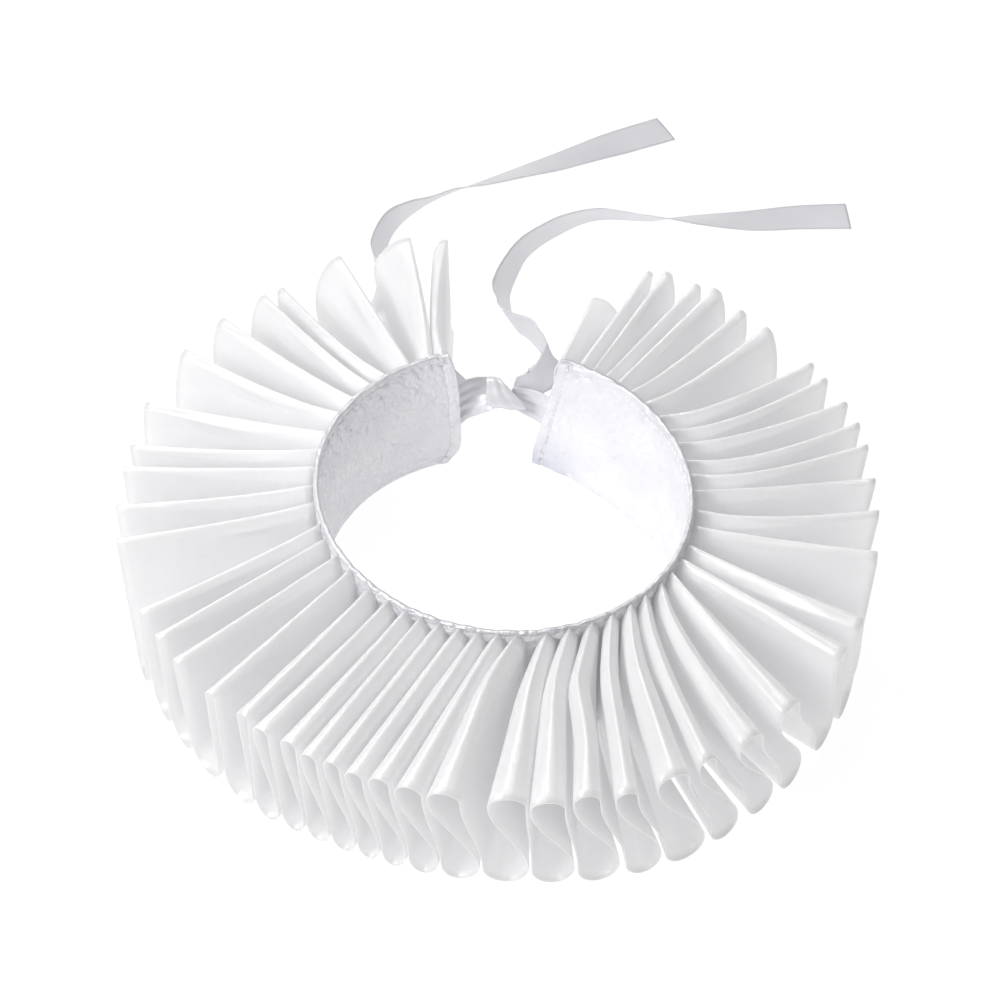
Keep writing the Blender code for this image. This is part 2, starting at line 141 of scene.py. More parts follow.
def new_tree(name, sockets):
    """An empty Geometry Nodes tree with these named inputs, and its input node's outputs."""
    tree = bpy.data.node_groups.new(name, "GeometryNodeTree")
    for label, kind in sockets.items():
        tree.interface.new_socket(label, in_out="INPUT", socket_type="NodeSocket" + kind)
    tree.interface.new_socket("Result", in_out="OUTPUT", socket_type="NodeSocketGeometry")
    return tree, tree.nodes.new("NodeGroupInput").outputs


def grid_places(tree, given):
    """The results of GRID_SUMS by name."""
    size = add_node(tree, "GeometryNodeAttributeDomainSize", None, {0: given["Guide points"]})
    index = add_node(tree, "GeometryNodeInputIndex").outputs[0]
    known = {"guide points": size.outputs["Point Count"], "index": index,
             "lines": given["Lines"], "rows": given["Rows"], "depth": given["Depth"]}
    for name, operation, *values in GRID_SUMS:
        inputs = {number: known.get(value, value) for number, value in enumerate(values)}
        known[name] = add_node(tree, "ShaderNodeMath", {"operation": operation}, inputs).outputs[0]
    return known


def place_on_spline(tree, guides, known):
    """Where the spline across the guide lines puts each point of the grid."""
    position = add_node(tree, "GeometryNodeInputPosition").outputs[0]
    whole = None
    for step, cubic in SPLINE_SHARES.items():
        weight = cubic[0]
        for coefficient in cubic[1:]:
            weight = add_node(tree, "ShaderNodeMath", {"operation": "MULTIPLY_ADD"},
                              {0: known["between"], 1: weight, 2: coefficient}).outputs[0]
        near = known["line"]
        for operation, value in (("ADD", step), ("MAXIMUM", 0.0), ("MINIMUM", known["last line"])):
            near = add_node(tree, "ShaderNodeMath", {"operation": operation},
                            {0: near, 1: value}).outputs[0]
        point = add_node(tree, "ShaderNodeMath", {"operation": "MULTIPLY_ADD"},
                         {0: near, 1: known["columns"], 2: known["column"]}).outputs[0]
        sample = add_node(tree, "GeometryNodeSampleIndex", {"data_type": "FLOAT_VECTOR"},
                          {0: guides, 1: position, 2: point}).outputs[0]
        part = add_node(tree, "ShaderNodeVectorMath", {"operation": "SCALE"},
                        {0: sample, "Scale": weight}).outputs[0]
        if whole is not None:
            part = add_node(tree, "ShaderNodeVectorMath", {"operation": "ADD"},
                            {0: whole, 1: part}).outputs[0]
        whole = part
    return whole


def finish_tree(tree, mesh, material):
    """End a tree in real geometry, with a material on it."""
    whole = add_node(tree, "GeometryNodeRealizeInstances", None, {0: mesh}).outputs[0]
    dressed = add_node(tree, "GeometryNodeSetMaterial", None, {0: whole, "Material": material})
    add_node(tree, "NodeGroupOutput", None, {0: dressed.outputs[0]})


def make_cloth_tree():
    tree, given = new_tree("cloth through guide lines", {
        "Guide points": "Geometry", "Lines": "Int", "Rows": "Int", "Depth": "Float",
        "Ripple height": "Float", "Ripples per metre": "Float", "Seed": "Float",
        "Cloth": "Material"})
    guides, known = given["Guide points"], grid_places(tree, given)
    grid = add_node(tree, "GeometryNodeMeshGrid", None, {2: known["columns"], 3: given["Rows"]})
    shaped = add_node(tree, "GeometryNodeSetPosition", None,
                      {0: grid.outputs[0], 2: place_on_spline(tree, guides, known)}).outputs[0]

    # The flat cloth's own lengthways and crossways measures, in metres, become its UV map.
    along = add_node(tree, "GeometryNodeInputNamedAttribute", {"data_type": "FLOAT"},
                     {"Name": "along"}).outputs[0]
    along = add_node(tree, "GeometryNodeSampleIndex", {"data_type": "FLOAT"},
                     {0: guides, 1: along, 2: known["column"]}).outputs[0]
    measured = add_node(tree, "ShaderNodeCombineXYZ", None, {0: along, 1: known["across"]})
    held = add_node(tree, "GeometryNodeStoreNamedAttribute",
                    {"data_type": "FLOAT_VECTOR", "domain": "POINT"},
                    {0: shaped, "Name": "flat", "Value": measured.outputs[0]}).outputs[0]
    flat = add_node(tree, "GeometryNodeInputNamedAttribute", {"data_type": "FLOAT_VECTOR"},
                    {"Name": "flat"}).outputs[0]
    mapped = add_node(tree, "GeometryNodeStoreNamedAttribute",
                      {"data_type": "FLOAT2", "domain": "CORNER"},
                      {0: held, "Name": "UVMap", "Value": flat}).outputs[0]

    noise = add_node(tree, "ShaderNodeTexNoise", {"noise_dimensions": "4D"},
                     {"Vector": flat, "W": given["Seed"], "Scale": given["Ripples per metre"],
                      "Detail": 1.0}).outputs[0]
    lift = noise
    for operation, value in (("SUBTRACT", 0.5), ("MULTIPLY", given["Ripple height"])):
        lift = add_node(tree, "ShaderNodeMath", {"operation": operation},
                        {0: lift, 1: value}).outputs[0]
    normal = add_node(tree, "GeometryNodeInputNormal").outputs[0]
    lift = add_node(tree, "ShaderNodeVectorMath", {"operation": "SCALE"},
                    {0: normal, "Scale": lift}).outputs[0]
    rippled = add_node(tree, "GeometryNodeSetPosition", None, {0: mapped, 3: lift}).outputs[0]
    finish_tree(tree, rippled, given["Cloth"])
    return tree


cloth_tree = make_cloth_tree()
print("cloth tree:", len(cloth_tree.nodes), "nodes")

# %% Turning a tree's result into a plain mesh
def link(name, mesh):
    piece = bpy.data.objects.new(name, mesh)
    bpy.context.scene.collection.objects.link(piece)
    return piece


def keep_result(piece):
    """Make what a piece's modifiers give its plain mesh, and take them off."""
    graph = bpy.context.evaluated_depsgraph_get()
    piece.data = bpy.data.meshes.new_from_object(piece.evaluated_get(graph))
    piece.data.name = piece.name
    piece.modifiers.clear()


def run_tree(piece, tree, values):
    """Run a tree on an object, its inputs given by name, and keep the result."""
    modifier = piece.modifiers.new(tree.name, "NODES")
    modifier.node_group = tree
    for item in tree.interface.items_tree:
        if item.name in values:
            modifier[item.identifier] = values[item.name]
    keep_result(piece)
    return piece


def cloth_through(name, lines, depth, rows, material, ripple, ripples, seed):
    """A cloth without thickness through guide lines, each a list of as many points.

    depth is its width across the lines and rows its points across them. ripple is the height of
    its unevenness, and ripples how many there are in a metre.
    """
    mesh = bpy.data.meshes.new(name)
    points = np.array(lines, dtype=float)
    mesh.from_pydata(points.reshape(-1, 3).tolist(), [], [])
    steps = np.linalg.norm(np.diff(points[-1], axis=0), axis=1)
    lengths = np.concatenate([[0.0], np.cumsum(steps)])
    along = mesh.attributes.new("along", "FLOAT", "POINT")
    along.data.foreach_set("value", np.tile(lengths, len(points)).astype(np.float32))
    values = {"Lines": len(points), "Rows": rows, "Depth": depth, "Ripple height": ripple,
              "Ripples per metre": ripples, "Seed": seed, "Cloth": material}
    return run_tree(link(name, mesh), cloth_tree, values)


def thicken(piece, wall):
    """Give a cloth its wall, half to each side, and smooth shading."""
    modifier = piece.modifiers.new("wall", "SOLIDIFY")
    modifier.thickness = wall
    modifier.offset = 0.0
    keep_result(piece)
    for polygon in piece.data.polygons:
        polygon.use_smooth = True


def read_numbers(elements, name):
    """A property of three numbers, such as a vertex's place, as an array with a row for each."""
    numbers = np.empty(len(elements) * 3)
    elements.foreach_get(name, numbers)
    return numbers.reshape(-1, 3)


def write_places(mesh, points):
    mesh.vertices.foreach_set("co", points.ravel())
    mesh.update()


# %% Small sums
def mix(a, b, share):
    return a + (b - a) * share


def ease(share):
    """A smooth step from 0 to 1, level at both ends."""
    share = min(max(share, 0.0), 1.0)
    return share * share * (3 - 2 * share)


def read_off(table, at, column=1):
    """What a table's column says where its first column is at, read between its rows."""
    return float(np.interp(at, [row[0] for row in table], [row[column] for row in table]))


# %% [markdown]
# ## Colours and satin
#
# Satin is a weave whose threads float over several others before they dip under one, so the face
# is almost all parallel threads. That gives a soft, long highlight across them. A material can
# tell that with a fine bump of threads, an anisotropic gloss and a little light let through,
# because the cloth is thin. Colours are written as sRGB hex and turned to linear in one place.

# %% Colour helper
def linear(hex_colour):
    """An sRGB hex colour as linear RGBA."""
    parts = [int(hex_colour[i:i + 2], 16) / 255 for i in (1, 3, 5)]
    low, high = [p / 12.92 for p in parts], [((p + 0.055) / 1.055) ** 2.4 for p in parts]
    return [*(h if p > 0.04045 else w for p, w, h in zip(parts, low, high)), 1.0]


# %% Satin patterns
THREAD = 0.45 * MM  # thread spacing: a real one is 0.12 mm, drawn this coarse so that it shows
FLOAT_LONG = 5  # a float is this many spacings long
FLOAT_HIGH = 0.1 * MM
SMOOTHER, ROUGHER = 0.05, 0.07  # how far the roughness varies from float to float
SLUB = 14 * MM  # length of the faint cloudy patches
CRUMPLE = 3.5 * MM  # length of the small uneven patches
PULL_WIDE, PULL_LONG = 4.5 * MM, 50 * MM  # one pull of gathered cloth
BAND_LENGTH = 0.37  # the neckband, from end to end
CLOTH_DEPTH = 61.5 * MM  # the ruffle, from the band to the free edge, along the cloth
PAINTED_SHADE_GREY = "#A2A2B8"  # painted shade at the neckband's right end
SHADE_HEM_SPAN = (0, BAND_LENGTH - 5 * MM, BAND_LENGTH - 3 * MM)  # 0 is along the band
SHADE_CORNER_ALONG = (0, BAND_LENGTH - 45 * MM, BAND_LENGTH)
SHADE_CORNER_UP = (1, 22 * MM, 0.0)  # 1 is up the band; then where the grey starts and is full
HEM_SHADE_SHARE = 0.6  # share of the painted shade along the hem
# Where the painted highlight along the ruffle's free edge starts and is full, measured from the
# band.
EDGE_GLOW_FROM, EDGE_GLOW_TO = CLOTH_DEPTH - 0.8 * MM, CLOTH_DEPTH - 0.2 * MM
EDGE_GLOW_EXTRA = 0.04  # painted glow added along the free edge, a painted highlight


def satin_tint(tree, flat, light, shade, painted_end_shade):
    """A faintly cloudy white, with painted shade at the band's right end where asked."""
    clouds = add_node(tree, "ShaderNodeTexNoise", {"noise_dimensions": "2D"},
                      {"Vector": flat, "Scale": 1 / SLUB, "Detail": 1.0}).outputs[0]
    tint = add_node(tree, "ShaderNodeMix", {"data_type": "RGBA"},
                    {0: clouds, 6: linear(shade), 7: linear(light)}).outputs[2]
    if not painted_end_shade:
        return tint
    # Painted shade: the strip along the band's right end and the lower corner beside it are painted
    # greyer.
    measures = add_node(tree, "ShaderNodeSeparateXYZ", None, {0: flat}).outputs
    hem, inwards, low = [
        add_node(tree, "ShaderNodeMapRange", {"interpolation_type": "SMOOTHSTEP"},
                 {0: measures[axis], 1: start, 2: full}).outputs[0]
        for axis, start, full in (SHADE_HEM_SPAN, SHADE_CORNER_ALONG, SHADE_CORNER_UP)]
    grey = hem
    corner = add_node(tree, "ShaderNodeMath", {"operation": "MULTIPLY"}, {0: inwards, 1: low})
    for operation, value in (("MULTIPLY", HEM_SHADE_SHARE), ("MAXIMUM", corner.outputs[0])):
        grey = add_node(tree, "ShaderNodeMath", {"operation": operation},
                        {0: grey, 1: value}).outputs[0]
    return add_node(tree, "ShaderNodeMix", {"data_type": "RGBA"},
                    {0: grey, 6: tint, 7: linear(PAINTED_SHADE_GREY)}).outputs[2]


def satin_relief(tree, flat, weave, bump, crinkle, pulls):
    """The normal that the threads give, then handling, then the pulls of gathered cloth."""
    relief = add_node(tree, "ShaderNodeBump", None,
                      {"Strength": bump, "Distance": FLOAT_HIGH, "Height": weave}).outputs[0]
    # Handling leaves the face a little uneven, which breaks the gloss up into patches.
    uneven = add_node(tree, "ShaderNodeTexNoise", {"noise_dimensions": "2D"},
                      {"Vector": flat, "Scale": 1 / CRUMPLE, "Detail": 2.0}).outputs[0]
    relief = add_node(tree, "ShaderNodeBump", None,
                      {"Distance": crinkle, "Height": uneven, "Normal": relief}).outputs[0]
    if not pulls:
        return relief
    # Gathered cloth is drawn into faint pulls that run from the seam to the free edge.
    drawn_out = add_node(tree, "ShaderNodeMapping", None,
                         {"Vector": flat, "Scale": (1 / PULL_WIDE, 1 / PULL_LONG, 1.0)}).outputs[0]
    drawn = add_node(tree, "ShaderNodeTexNoise", {"noise_dimensions": "2D"},
                     {"Vector": drawn_out, "Scale": 1.0, "Detail": 1.0}).outputs[0]
    return add_node(tree, "ShaderNodeBump", None,
                    {"Distance": pulls, "Height": drawn, "Normal": relief}).outputs[0]


# %% Satin material
def make_satin(name, light, shade, roughness, thread=THREAD, bump=0.25, see_through=0.4,
               glow="#FDFDFD", painted_glow=0.0, crinkle=0.05 * MM, pulls=0.0,
               painted_edge_glow=False, painted_end_shade=False):
    """White woven polyester satin: long floats along the cloth, read from its own UV map."""
    material = bpy.data.materials.new(name)
    material.use_nodes = True
    material.cycles.emission_sampling = "NONE"  # its painted glow is too faint to aim rays at
    tree = material.node_tree
    shader = tree.nodes["Principled BSDF"]
    flat = add_node(tree, "ShaderNodeUVMap", {"uv_map": "UVMap"}).outputs[0]
    # Floats: noise drawn out along the thread, a few spacings long and one spacing wide.
    floats = add_node(tree, "ShaderNodeMapping", None,
                      {"Vector": flat, "Scale": (1 / (thread * FLOAT_LONG), 1 / thread, 1.0)})
    weave = add_node(tree, "ShaderNodeTexNoise", {"noise_dimensions": "2D"},
                     {"Vector": floats.outputs[0], "Scale": 1.0, "Detail": 1.0}).outputs[0]
    rough = add_node(tree, "ShaderNodeMapRange", None,
                     {0: weave, 3: roughness - SMOOTHER, 4: roughness + ROUGHER}).outputs[0]
    # The floats draw the gloss out into a streak across themselves, so along the folds.
    threads = add_node(tree, "ShaderNodeTangent", {"direction_type": "UV_MAP", "uv_map": "UVMap"})
    links = {"Base Color": satin_tint(tree, flat, light, shade, painted_end_shade), "Roughness": rough,
             "Normal": satin_relief(tree, flat, weave, bump, crinkle, pulls),
             "Tangent": threads.outputs[0]}
    if painted_edge_glow:
        # A painted highlight: a thin line along the free edge glows a little more than the rest of
        # the cloth.
        across = add_node(tree, "ShaderNodeSeparateXYZ", None, {0: flat}).outputs[1]
        links["Emission Strength"] = add_node(
            tree, "ShaderNodeMapRange", None,
            {0: across, 1: EDGE_GLOW_FROM, 2: EDGE_GLOW_TO, 3: painted_glow,
             4: painted_glow + EDGE_GLOW_EXTRA}).outputs[0]
    for socket, link_from in links.items():
        tree.links.new(link_from, shader.inputs[socket])
    # Painted glow: the cloth glows faintly of its own, standing in for the light that many layers of
    # thin cloth pass on to one another, so that even the deep gaps are lit.
    for socket, value in {"Specular IOR Level": 1.0, "IOR": 2.0, "Anisotropic": 0.5,
                          "Anisotropic Rotation": 0.25, "Emission Color": linear("#FFFFFF"),
                          "Emission Strength": painted_glow}.items():
        shader.inputs[socket].default_value = value
    # The cloth is thin, so part of the light comes out on its far side.
    through = add_node(tree, "ShaderNodeBsdfTranslucent", None, {"Color": linear(glow)})
    both = add_node(tree, "ShaderNodeMixShader", None,
                    {0: see_through, 1: shader.outputs[0], 2: through.outputs[0]})
    tree.links.new(both.outputs[0], tree.nodes["Material Output"].inputs["Surface"])
    return material


# The ruffle's satin has a painted glow that lights its gaps, and a painted highlight along its free
# edge.
ruffle_satin = make_satin("white polyester satin", "#F8F8F9", "#F2F2F4", 0.38, bump=0.6,
                          painted_glow=0.115, crinkle=0.2 * MM, pulls=0.6 * MM, painted_edge_glow=True)
# The band's satin carries painted shade at its right end.
band_satin = make_satin("satin over stiffener", "#E7E7EA", "#D6D6DD", 0.32, bump=0.35,
                        see_through=0.0, crinkle=1.3 * MM, painted_end_shade=True)
ribbon_satin = make_satin("double faced satin ribbon", "#F2F2F4", "#EAEAEE", 0.32, 0.6 * MM,
                          see_through=0.3, glow="#F2F2F6")

# %% Sewing thread material
TWIST = MM / 3  # length of a thread's twist


def make_thread(name, colour):
    """Spun polyester sewing thread: matt, a little brighter than the satin."""
    material = bpy.data.materials.new(name)
    material.use_nodes = True
    tree = material.node_tree
    shader = tree.nodes["Principled BSDF"]
    at = add_node(tree, "ShaderNodeTexCoord").outputs["Object"]
    twist = add_node(tree, "ShaderNodeTexNoise", None,
                     {"Vector": at, "Scale": 1 / TWIST, "Detail": 1.0}).outputs[0]
    relief = add_node(tree, "ShaderNodeBump", None,
                      {"Strength": 0.3, "Distance": 0.05 * MM, "Height": twist}).outputs[0]
    tree.links.new(relief, shader.inputs["Normal"])
    shader.inputs["Base Color"].default_value = linear(colour)
    shader.inputs["Roughness"].default_value = 0.6
    return material


thread_white = make_thread("spun polyester thread", "#FBFBFC")
print("materials:", len(bpy.data.materials))

# %% [markdown]
# ## The two ribbon ends
#
# The ties end in two lengths of satin ribbon, 15 mm wide, which rise from the knot, twist once
# and lie along the table. A ribbon could be a curve with a flat bevel, but here each point of the
# route also says how the ribbon leans, so its two edges are known and the cloth tree can lay
# the satin between them, a little crowned as woven ribbon is. The routes are those of the solids.

# %% Ribbon routes
RIBBON_WIDTH = 15 * MM
RIBBON_WALL = 0.4 * MM
RIBBON_STEP = 2.0 * MM  # between its points

# In mm. lean is the angle in degrees between the ribbon's width and the table, about the way that
# it runs: 0 lies flat, 90 stands on edge. wide is its width, 15 where it isn't given.
Point = namedtuple("Point", "x y z lean wide", defaults=(15,))
TAIL_RIGHT = [Point(*row) for row in (
    (3.6, 69.5, 29.6, 88, 6), (6.4, 70.2, 29.0, 88, 9.5), (8.8, 70.8, 28.8, 88, 12),
    (12.0, 71.4, 30.2, 92, 14.5), (14.6, 73.5, 33.5, 100), (15.9, 77.6, 37.0, 108),
    (13.7, 81.4, 36.5, 104), (10.7, 89.1, 33.5, 102), (6.8, 97.6, 29.0, 113),
    (3.8, 105.5, 24.5, 122), (1.5, 114.1, 19.5, 122), (0.4, 121.6, 15.5, 118),
    (-0.8, 129.2, 12.0, 119), (-1.2, 135.3, 9.8, 120), (-1.3, 140.8, 8.2, 115),
    (-0.4, 149.2, 7.6, 104), (3.9, 161.3, 7.8, 93), (9.5, 170.6, 7.7, 79),
    (19.7, 180.5, 7.4, 70), (34.6, 188.3, 6.7, 56), (53.5, 187.4, 5.9, 47),
    (68.5, 189.2, 4.1, 29), (91.0, 191.9, 2.0, 11), (110.0, 195.6, 1.1, 4),
    (128.8, 197.2, 0.8, 1),
)]
TAIL_LEFT = [Point(*row) for row in (
    (-1.0, 71.4, 25.0, 70, 9), (-4.5, 74.0, 19.5, 50, 11), (-7.0, 79.5, 10.0, 22, 14),
    (-10.5, 86.5, 2.8, 5), (-16.5, 93.5, 0.9, 0), (-24.5, 103.5, 0.9, 0), (-31.7, 113.0, 0.9, 0),
    (-38.5, 123.5, 1.4, 5), (-43.1, 134.0, 4.7, 33), (-45.9, 144.0, 7.4, 70),
    (-47.5, 155.5, 7.7, 103), (-47.2, 164.1, 7.7, 107), (-44.6, 176.8, 7.8, 92),
    (-38.9, 185.3, 7.5, 72), (-31.5, 192.5, 6.6, 55), (-22.3, 200.3, 5.9, 47),
    (-9.7, 207.1, 4.8, 35), (3.1, 214.5, 3.9, 27), (16.1, 222.2, 2.8, 18),
    (29.1, 230.3, 2.0, 11), (42.2, 238.7, 0.95, 3), (61.0, 248.3, 0.8, 1),
)]


# %% Ribbon shape
RIBBON_ACROSS = (-1.0, -0.5, 0.0, 0.5, 1.0)  # its guide lines, from one edge to the other


def smooth_between(before, start, end, after, share):
    """A Catmull-Rom spline's value between start and end."""
    return 0.5 * (
        2 * start + (end - before) * share
        + (2 * before - 5 * start + 4 * end - after) * share ** 2
        + (3 * start - before - 3 * end + after) * share ** 3
    )


def follow(route):
    """(place, lean, width) at even steps along the smooth line through a route."""
    found = []
    padded = [route[0]] + route + [route[-1]]
    for before, start, end, after in zip(padded, padded[1:], padded[2:], padded[3:]):
        steps = max(1, round(math.dist(start[:3], end[:3]) * MM / RIBBON_STEP))
        for step in range(steps):
            found.append([smooth_between(*values, step / steps)
                          for values in zip(before, start, end, after)])
    found.append(list(route[-1]))
    return [(Vector(row[:3]) * MM, math.radians(row[3]), row[4] * MM) for row in found]


def ribbon_frames(route):
    """(place, way across, way that it faces, half width) of a ribbon at the steps of its route."""
    stations = follow(route)
    places = [station[0] for station in stations]
    behind, ahead = places[:1] + places[:-1], places[1:] + places[-1:]
    frames = []
    for (centre, lean, wide), last, following in zip(stations, behind, ahead):
        run = (following - last).normalized()
        side = run.cross(Vector((0, 0, 1))).normalized()
        across = side * math.cos(lean) + side.cross(run) * math.sin(lean)
        frames.append((centre, across, across.cross(run).normalized(), wide / 2))
    return frames


def ribbon_lines(frames, crown):
    """Guide lines of a ribbon that is bowed up by crown in the middle."""
    return [[centre + across * (part * half) + face * crown * (1 - part * part)
             for centre, across, face, half in frames] for part in RIBBON_ACROSS]


# %% Make the tails
RIBBON_CROWN = 0.35 * MM  # how far its middle stands out from its edges
TAIL_ROWS = 9


def make_tail(name, route, seed):
    frames = ribbon_frames(route)
    tail = cloth_through(name, ribbon_lines(frames, RIBBON_CROWN), RIBBON_WIDTH, TAIL_ROWS,
                         ribbon_satin, ripple=0.25 * MM, ripples=45.0, seed=seed)
    thicken(tail, RIBBON_WALL)
    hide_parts(name.replace("satin_", ""))
    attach(tail, "root")


make_tail("satin_tail_right", TAIL_RIGHT, 3.0)
make_tail("satin_tail_left", TAIL_LEFT, 8.0)

# %% [markdown]
# ## The knot
#
# Each end of the band carries a tie of the same ribbon, bunched into lengthwise gathers where it
# is pulled tight, and one turn of ribbon is wrapped aslant over the place where they cross. A
# gather is only a ribbon whose guide lines stand alternately high and low, so the cloth tree
# makes these too: short routes for the ties, and a closed ring for the wrap.

# %% Gathered ties
TIE_LEFT = [Point(*row) for row in (
    (-19.5, 64.6, 21.4, 90, 12), (-17.3, 63.55, 22.4, 94, 13), (-14.0, 64.9, 24.2, 104, 13.5),
    (-10.0, 66.3, 26.1, 120, 13), (-5.5, 66.6, 27.3, 136, 11.5), (-1.5, 66.6, 27.6, 140, 8),
)]
TIE_RIGHT = [Point(*row) for row in (
    (2.5, 66.6, 26.2, 140, 6.5), (6.5, 66.8, 24.6, 126, 8.5), (11.4, 65.9, 22.6, 104, 11),
    (16.0, 62.45, 21.8, 92, 14),
)]
GATHERS = 4  # lengthwise folds across a tie
GATHER_LINES = 4 * GATHERS + 1
GATHER_HIGH = 0.25 * MM
TIE_BULGE = 1.2 * MM  # how far the middle of a tie stands out from its edges
TIE_WALL = 0.5 * MM


def gathered_lines(route):
    """Guide lines of a ribbon that is bunched into gathers."""
    frames = ribbon_frames(route)
    lines = []
    for number in range(GATHER_LINES):
        part = 2 * number / (GATHER_LINES - 1) - 1
        line = []
        for index, (centre, across, face, half) in enumerate(frames):
            # Every gather is higher in some places than in others.
            high = GATHER_HIGH * (0.7 + 0.3 * math.sin(3 * number + index))
            fold = high * math.cos(math.pi * GATHERS * (part + 1))
            bulge = TIE_BULGE * (1 - part * part)
            line.append(centre + across * (part * half) + face * (bulge + fold))
        lines.append(line)
    return lines


def make_tie(name, route, seed):
    tie = cloth_through(name, gathered_lines(route), RIBBON_WIDTH, 2 * GATHER_LINES - 1,
                        ribbon_satin, ripple=0.3 * MM, ripples=160.0, seed=seed)
    thicken(tie, TIE_WALL)
    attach(tie, "root")
    return tie


tie_left = make_tie("gathered_tie_left", TIE_LEFT, 4.0)
tie_right = make_tie("gathered_tie_right", TIE_RIGHT, 6.0)
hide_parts("tie_left")
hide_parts("tie_right")
print("ties:", len(tie_left.data.polygons) + len(tie_right.data.polygons), "faces")

# %% The wrap of the knot
KNOT_AT = Vector((-1.3, 66.6, 27.6)) * MM
KNOT_LONG = 4.7 * MM  # half of its length between the ties, halfway up
KNOT_HIGH = 5.2 * MM  # half of its height
KNOT_THICK = 2.7 * MM  # half of its thickness
KNOT_UP = Vector((0, 0.77, 0.64))  # the ribbon leans back against the ties
KNOT_FACE = Vector((0, -0.64, 0.77))
KNOT_DROP = 0.8 * MM  # how much lower its right end is than its middle
KNOT_TAPER = 0.16  # share by which it is slimmer at its ends than in the middle
WRAP_LINES, WRAP_POINTS = 13, 72  # rings side by side, and points round each
WRAP_ROWS = 4 * (WRAP_LINES - 1) + 1
WRAP_WIDTH = 22 * MM  # of the ribbon as it is bunched
WRAP_GATHER = 0.12 * MM  # height of its gathers
WRAP_SLANT = 4.2 * MM  # how far its right edge leans out to the foot of the knot


def wrap_lines():
    """Rings round the knot, side by side, plumb at the left edge and aslant at the right one."""
    lines = []
    for number in range(WRAP_LINES):
        part = 2 * number / (WRAP_LINES - 1) - 1
        swell = 1 - KNOT_TAPER * part ** 4
        line = []
        for point in range(WRAP_POINTS + 1):
            angle = 2 * math.pi * point / WRAP_POINTS
            slant = -WRAP_SLANT * math.cos(angle) * (part + 1) / 2
            # The gathers run round the knot and wander sideways on the way.
            gather = WRAP_GATHER * math.cos(math.pi * 2.5 * part + 2.0 * math.sin(angle + 0.5))
            out = KNOT_UP * math.cos(angle) * KNOT_HIGH + KNOT_FACE * math.sin(angle) * KNOT_THICK
            line.append(KNOT_AT + out * swell + out.normalized() * gather
                        + Vector((part * KNOT_LONG + slant, 0, -part * KNOT_DROP)))
        lines.append(line)
    return lines


wrap = cloth_through("knot_wrap", wrap_lines(), WRAP_WIDTH, WRAP_ROWS, ribbon_satin,
                     ripple=0.25 * MM, ripples=200.0, seed=9.0)
thicken(wrap, TIE_WALL)
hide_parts("tie_knot")
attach(wrap, "root")
print("knot:", len(wrap.data.polygons), "faces")

# %% [markdown]
# ## The neck and the folds
#
# Everything sits round one oval, the neck. A place on it is a turn in degrees from the middle of
# the front, positive towards +X. The ruffle is described fold by fold, because hand-set pleats
# lean and open unevenly: an array would give fifty equal ones. The table says, for each pleat,
# where its crest is sewn, how far round it swings at the free edge, how high it stands, how wide
# it opens, and how it bends on the way.

# %% Neck sizes
NECK_RADIUS = 61.4 * MM  # mean radius of the band's inner face
NECK_OVAL = 0.04  # the long half axis stands out by this share of the radius
NECK_TURN = 20.0  # where the long axis points
NECK_CENTRE = (0.3 * MM, 0.25 * MM)
BAND_HEIGHT = 49.5 * MM
BAND_WALL = 1.4 * MM  # two layers of satin over a stiffener
# (turn, mm): the foot of the band is closer to the neck than its top, by this much.
BAND_LEANS = ((100, 0.5), (111, 1.8), (128, 5.0), (147, 4.6), (163, 2.6), (171, 0.5))


def neck_radius(turn):
    return NECK_RADIUS * (1 + NECK_OVAL * math.cos(math.radians(2 * (turn - NECK_TURN))))


def band_radius(turn, height):
    """Radius of the band's inner face at a height."""
    return neck_radius(turn) - read_off(BAND_LEANS, turn) * MM * (1 - height / BAND_HEIGHT)


def place(turn, radius, height):
    angle = math.radians(turn)
    x = NECK_CENTRE[0] + radius * math.sin(angle)
    y = NECK_CENTRE[1] - radius * math.cos(angle)
    return Vector((x, y, height))


# %% Ruffle sizes
CLOTH = 0.35 * MM  # a fold of satin, two to three times its real thickness
SEAM = 0.3 * MM  # between the ruffle and the band it is sewn to
CREST_REACH = 63.4 * MM  # from the band's inner face to the outer end of a crest
FOOT_REACH = 61.0 * MM  # the same, along the foot of the ruffle
CREST_FREE = 44.7 * MM  # height of the crests at the outer edge, before a fold's own lift
FOOT_SEWN = 2.4 * MM  # height of the lower loops at the band
OUTER_RADIUS = 125.0 * MM  # used to turn a width along the outer edge into an angle
INNER_RADIUS = 65.0 * MM  # the same, along the band
CLEAR = 0.5 * MM  # left between a loop and the middle of the gap beside it
SEWN_HALF = 2.8 * MM  # most half width of a crest at the band, where it is a pointed arch
SEWN_DEPTH = 6.0 * MM  # height of that arch
SEWN_CLEAR = 0.35 * MM  # left between a pointed arch and the middle of the gap beside it
PINCH_HALF = 1.1 * MM  # half width of every lower loop at the band
FOOT_DEPTH = 6.5 * MM  # height that a lower loop is round over
CREST_DEPTH = 4.0 * MM  # the same, at most, for a crest
ROUND_CREST = 3.0 * MM  # below this half width the legs of a crest are less and less plumb
LOOP_STEPS = 7  # columns in a quarter of a loop
LEG_STEPS = 10  # columns down a leg
FREE_LEG = 1.3  # degrees that the strip's free ends stand away from the last crests
FREE_FOOT = 4.0 * MM  # height where a free end stops
STATIONS = 7  # guide lines from the band to the free edge
ROWS = 17  # rows of the finished cloth
LEG = 46 * MM  # from a crest to the loop below it, along the cloth
BELLY_AT = 0.6  # a leg bulges most above its middle: 1 would be in the middle
BOW_AT = 0.75  # a crest bends most nearer the band than the free edge: 1 would be halfway
KINK_AT, KINK_LONG = 0.33, 0.3  # shares of the way out, to a kink's peak and from there to its end
# (turn, mm): how high the crests are sewn to the band.
SEWN_HEIGHTS = ((-161, 48.8), (-151, 46), (-139, 44), (-125, 44.4), (-107, 46), (-83, 47),
                (-48, 49.4), (38, 49.4), (60, 47.8), (80, 45.8), (116, 45.8), (132, 48.4))


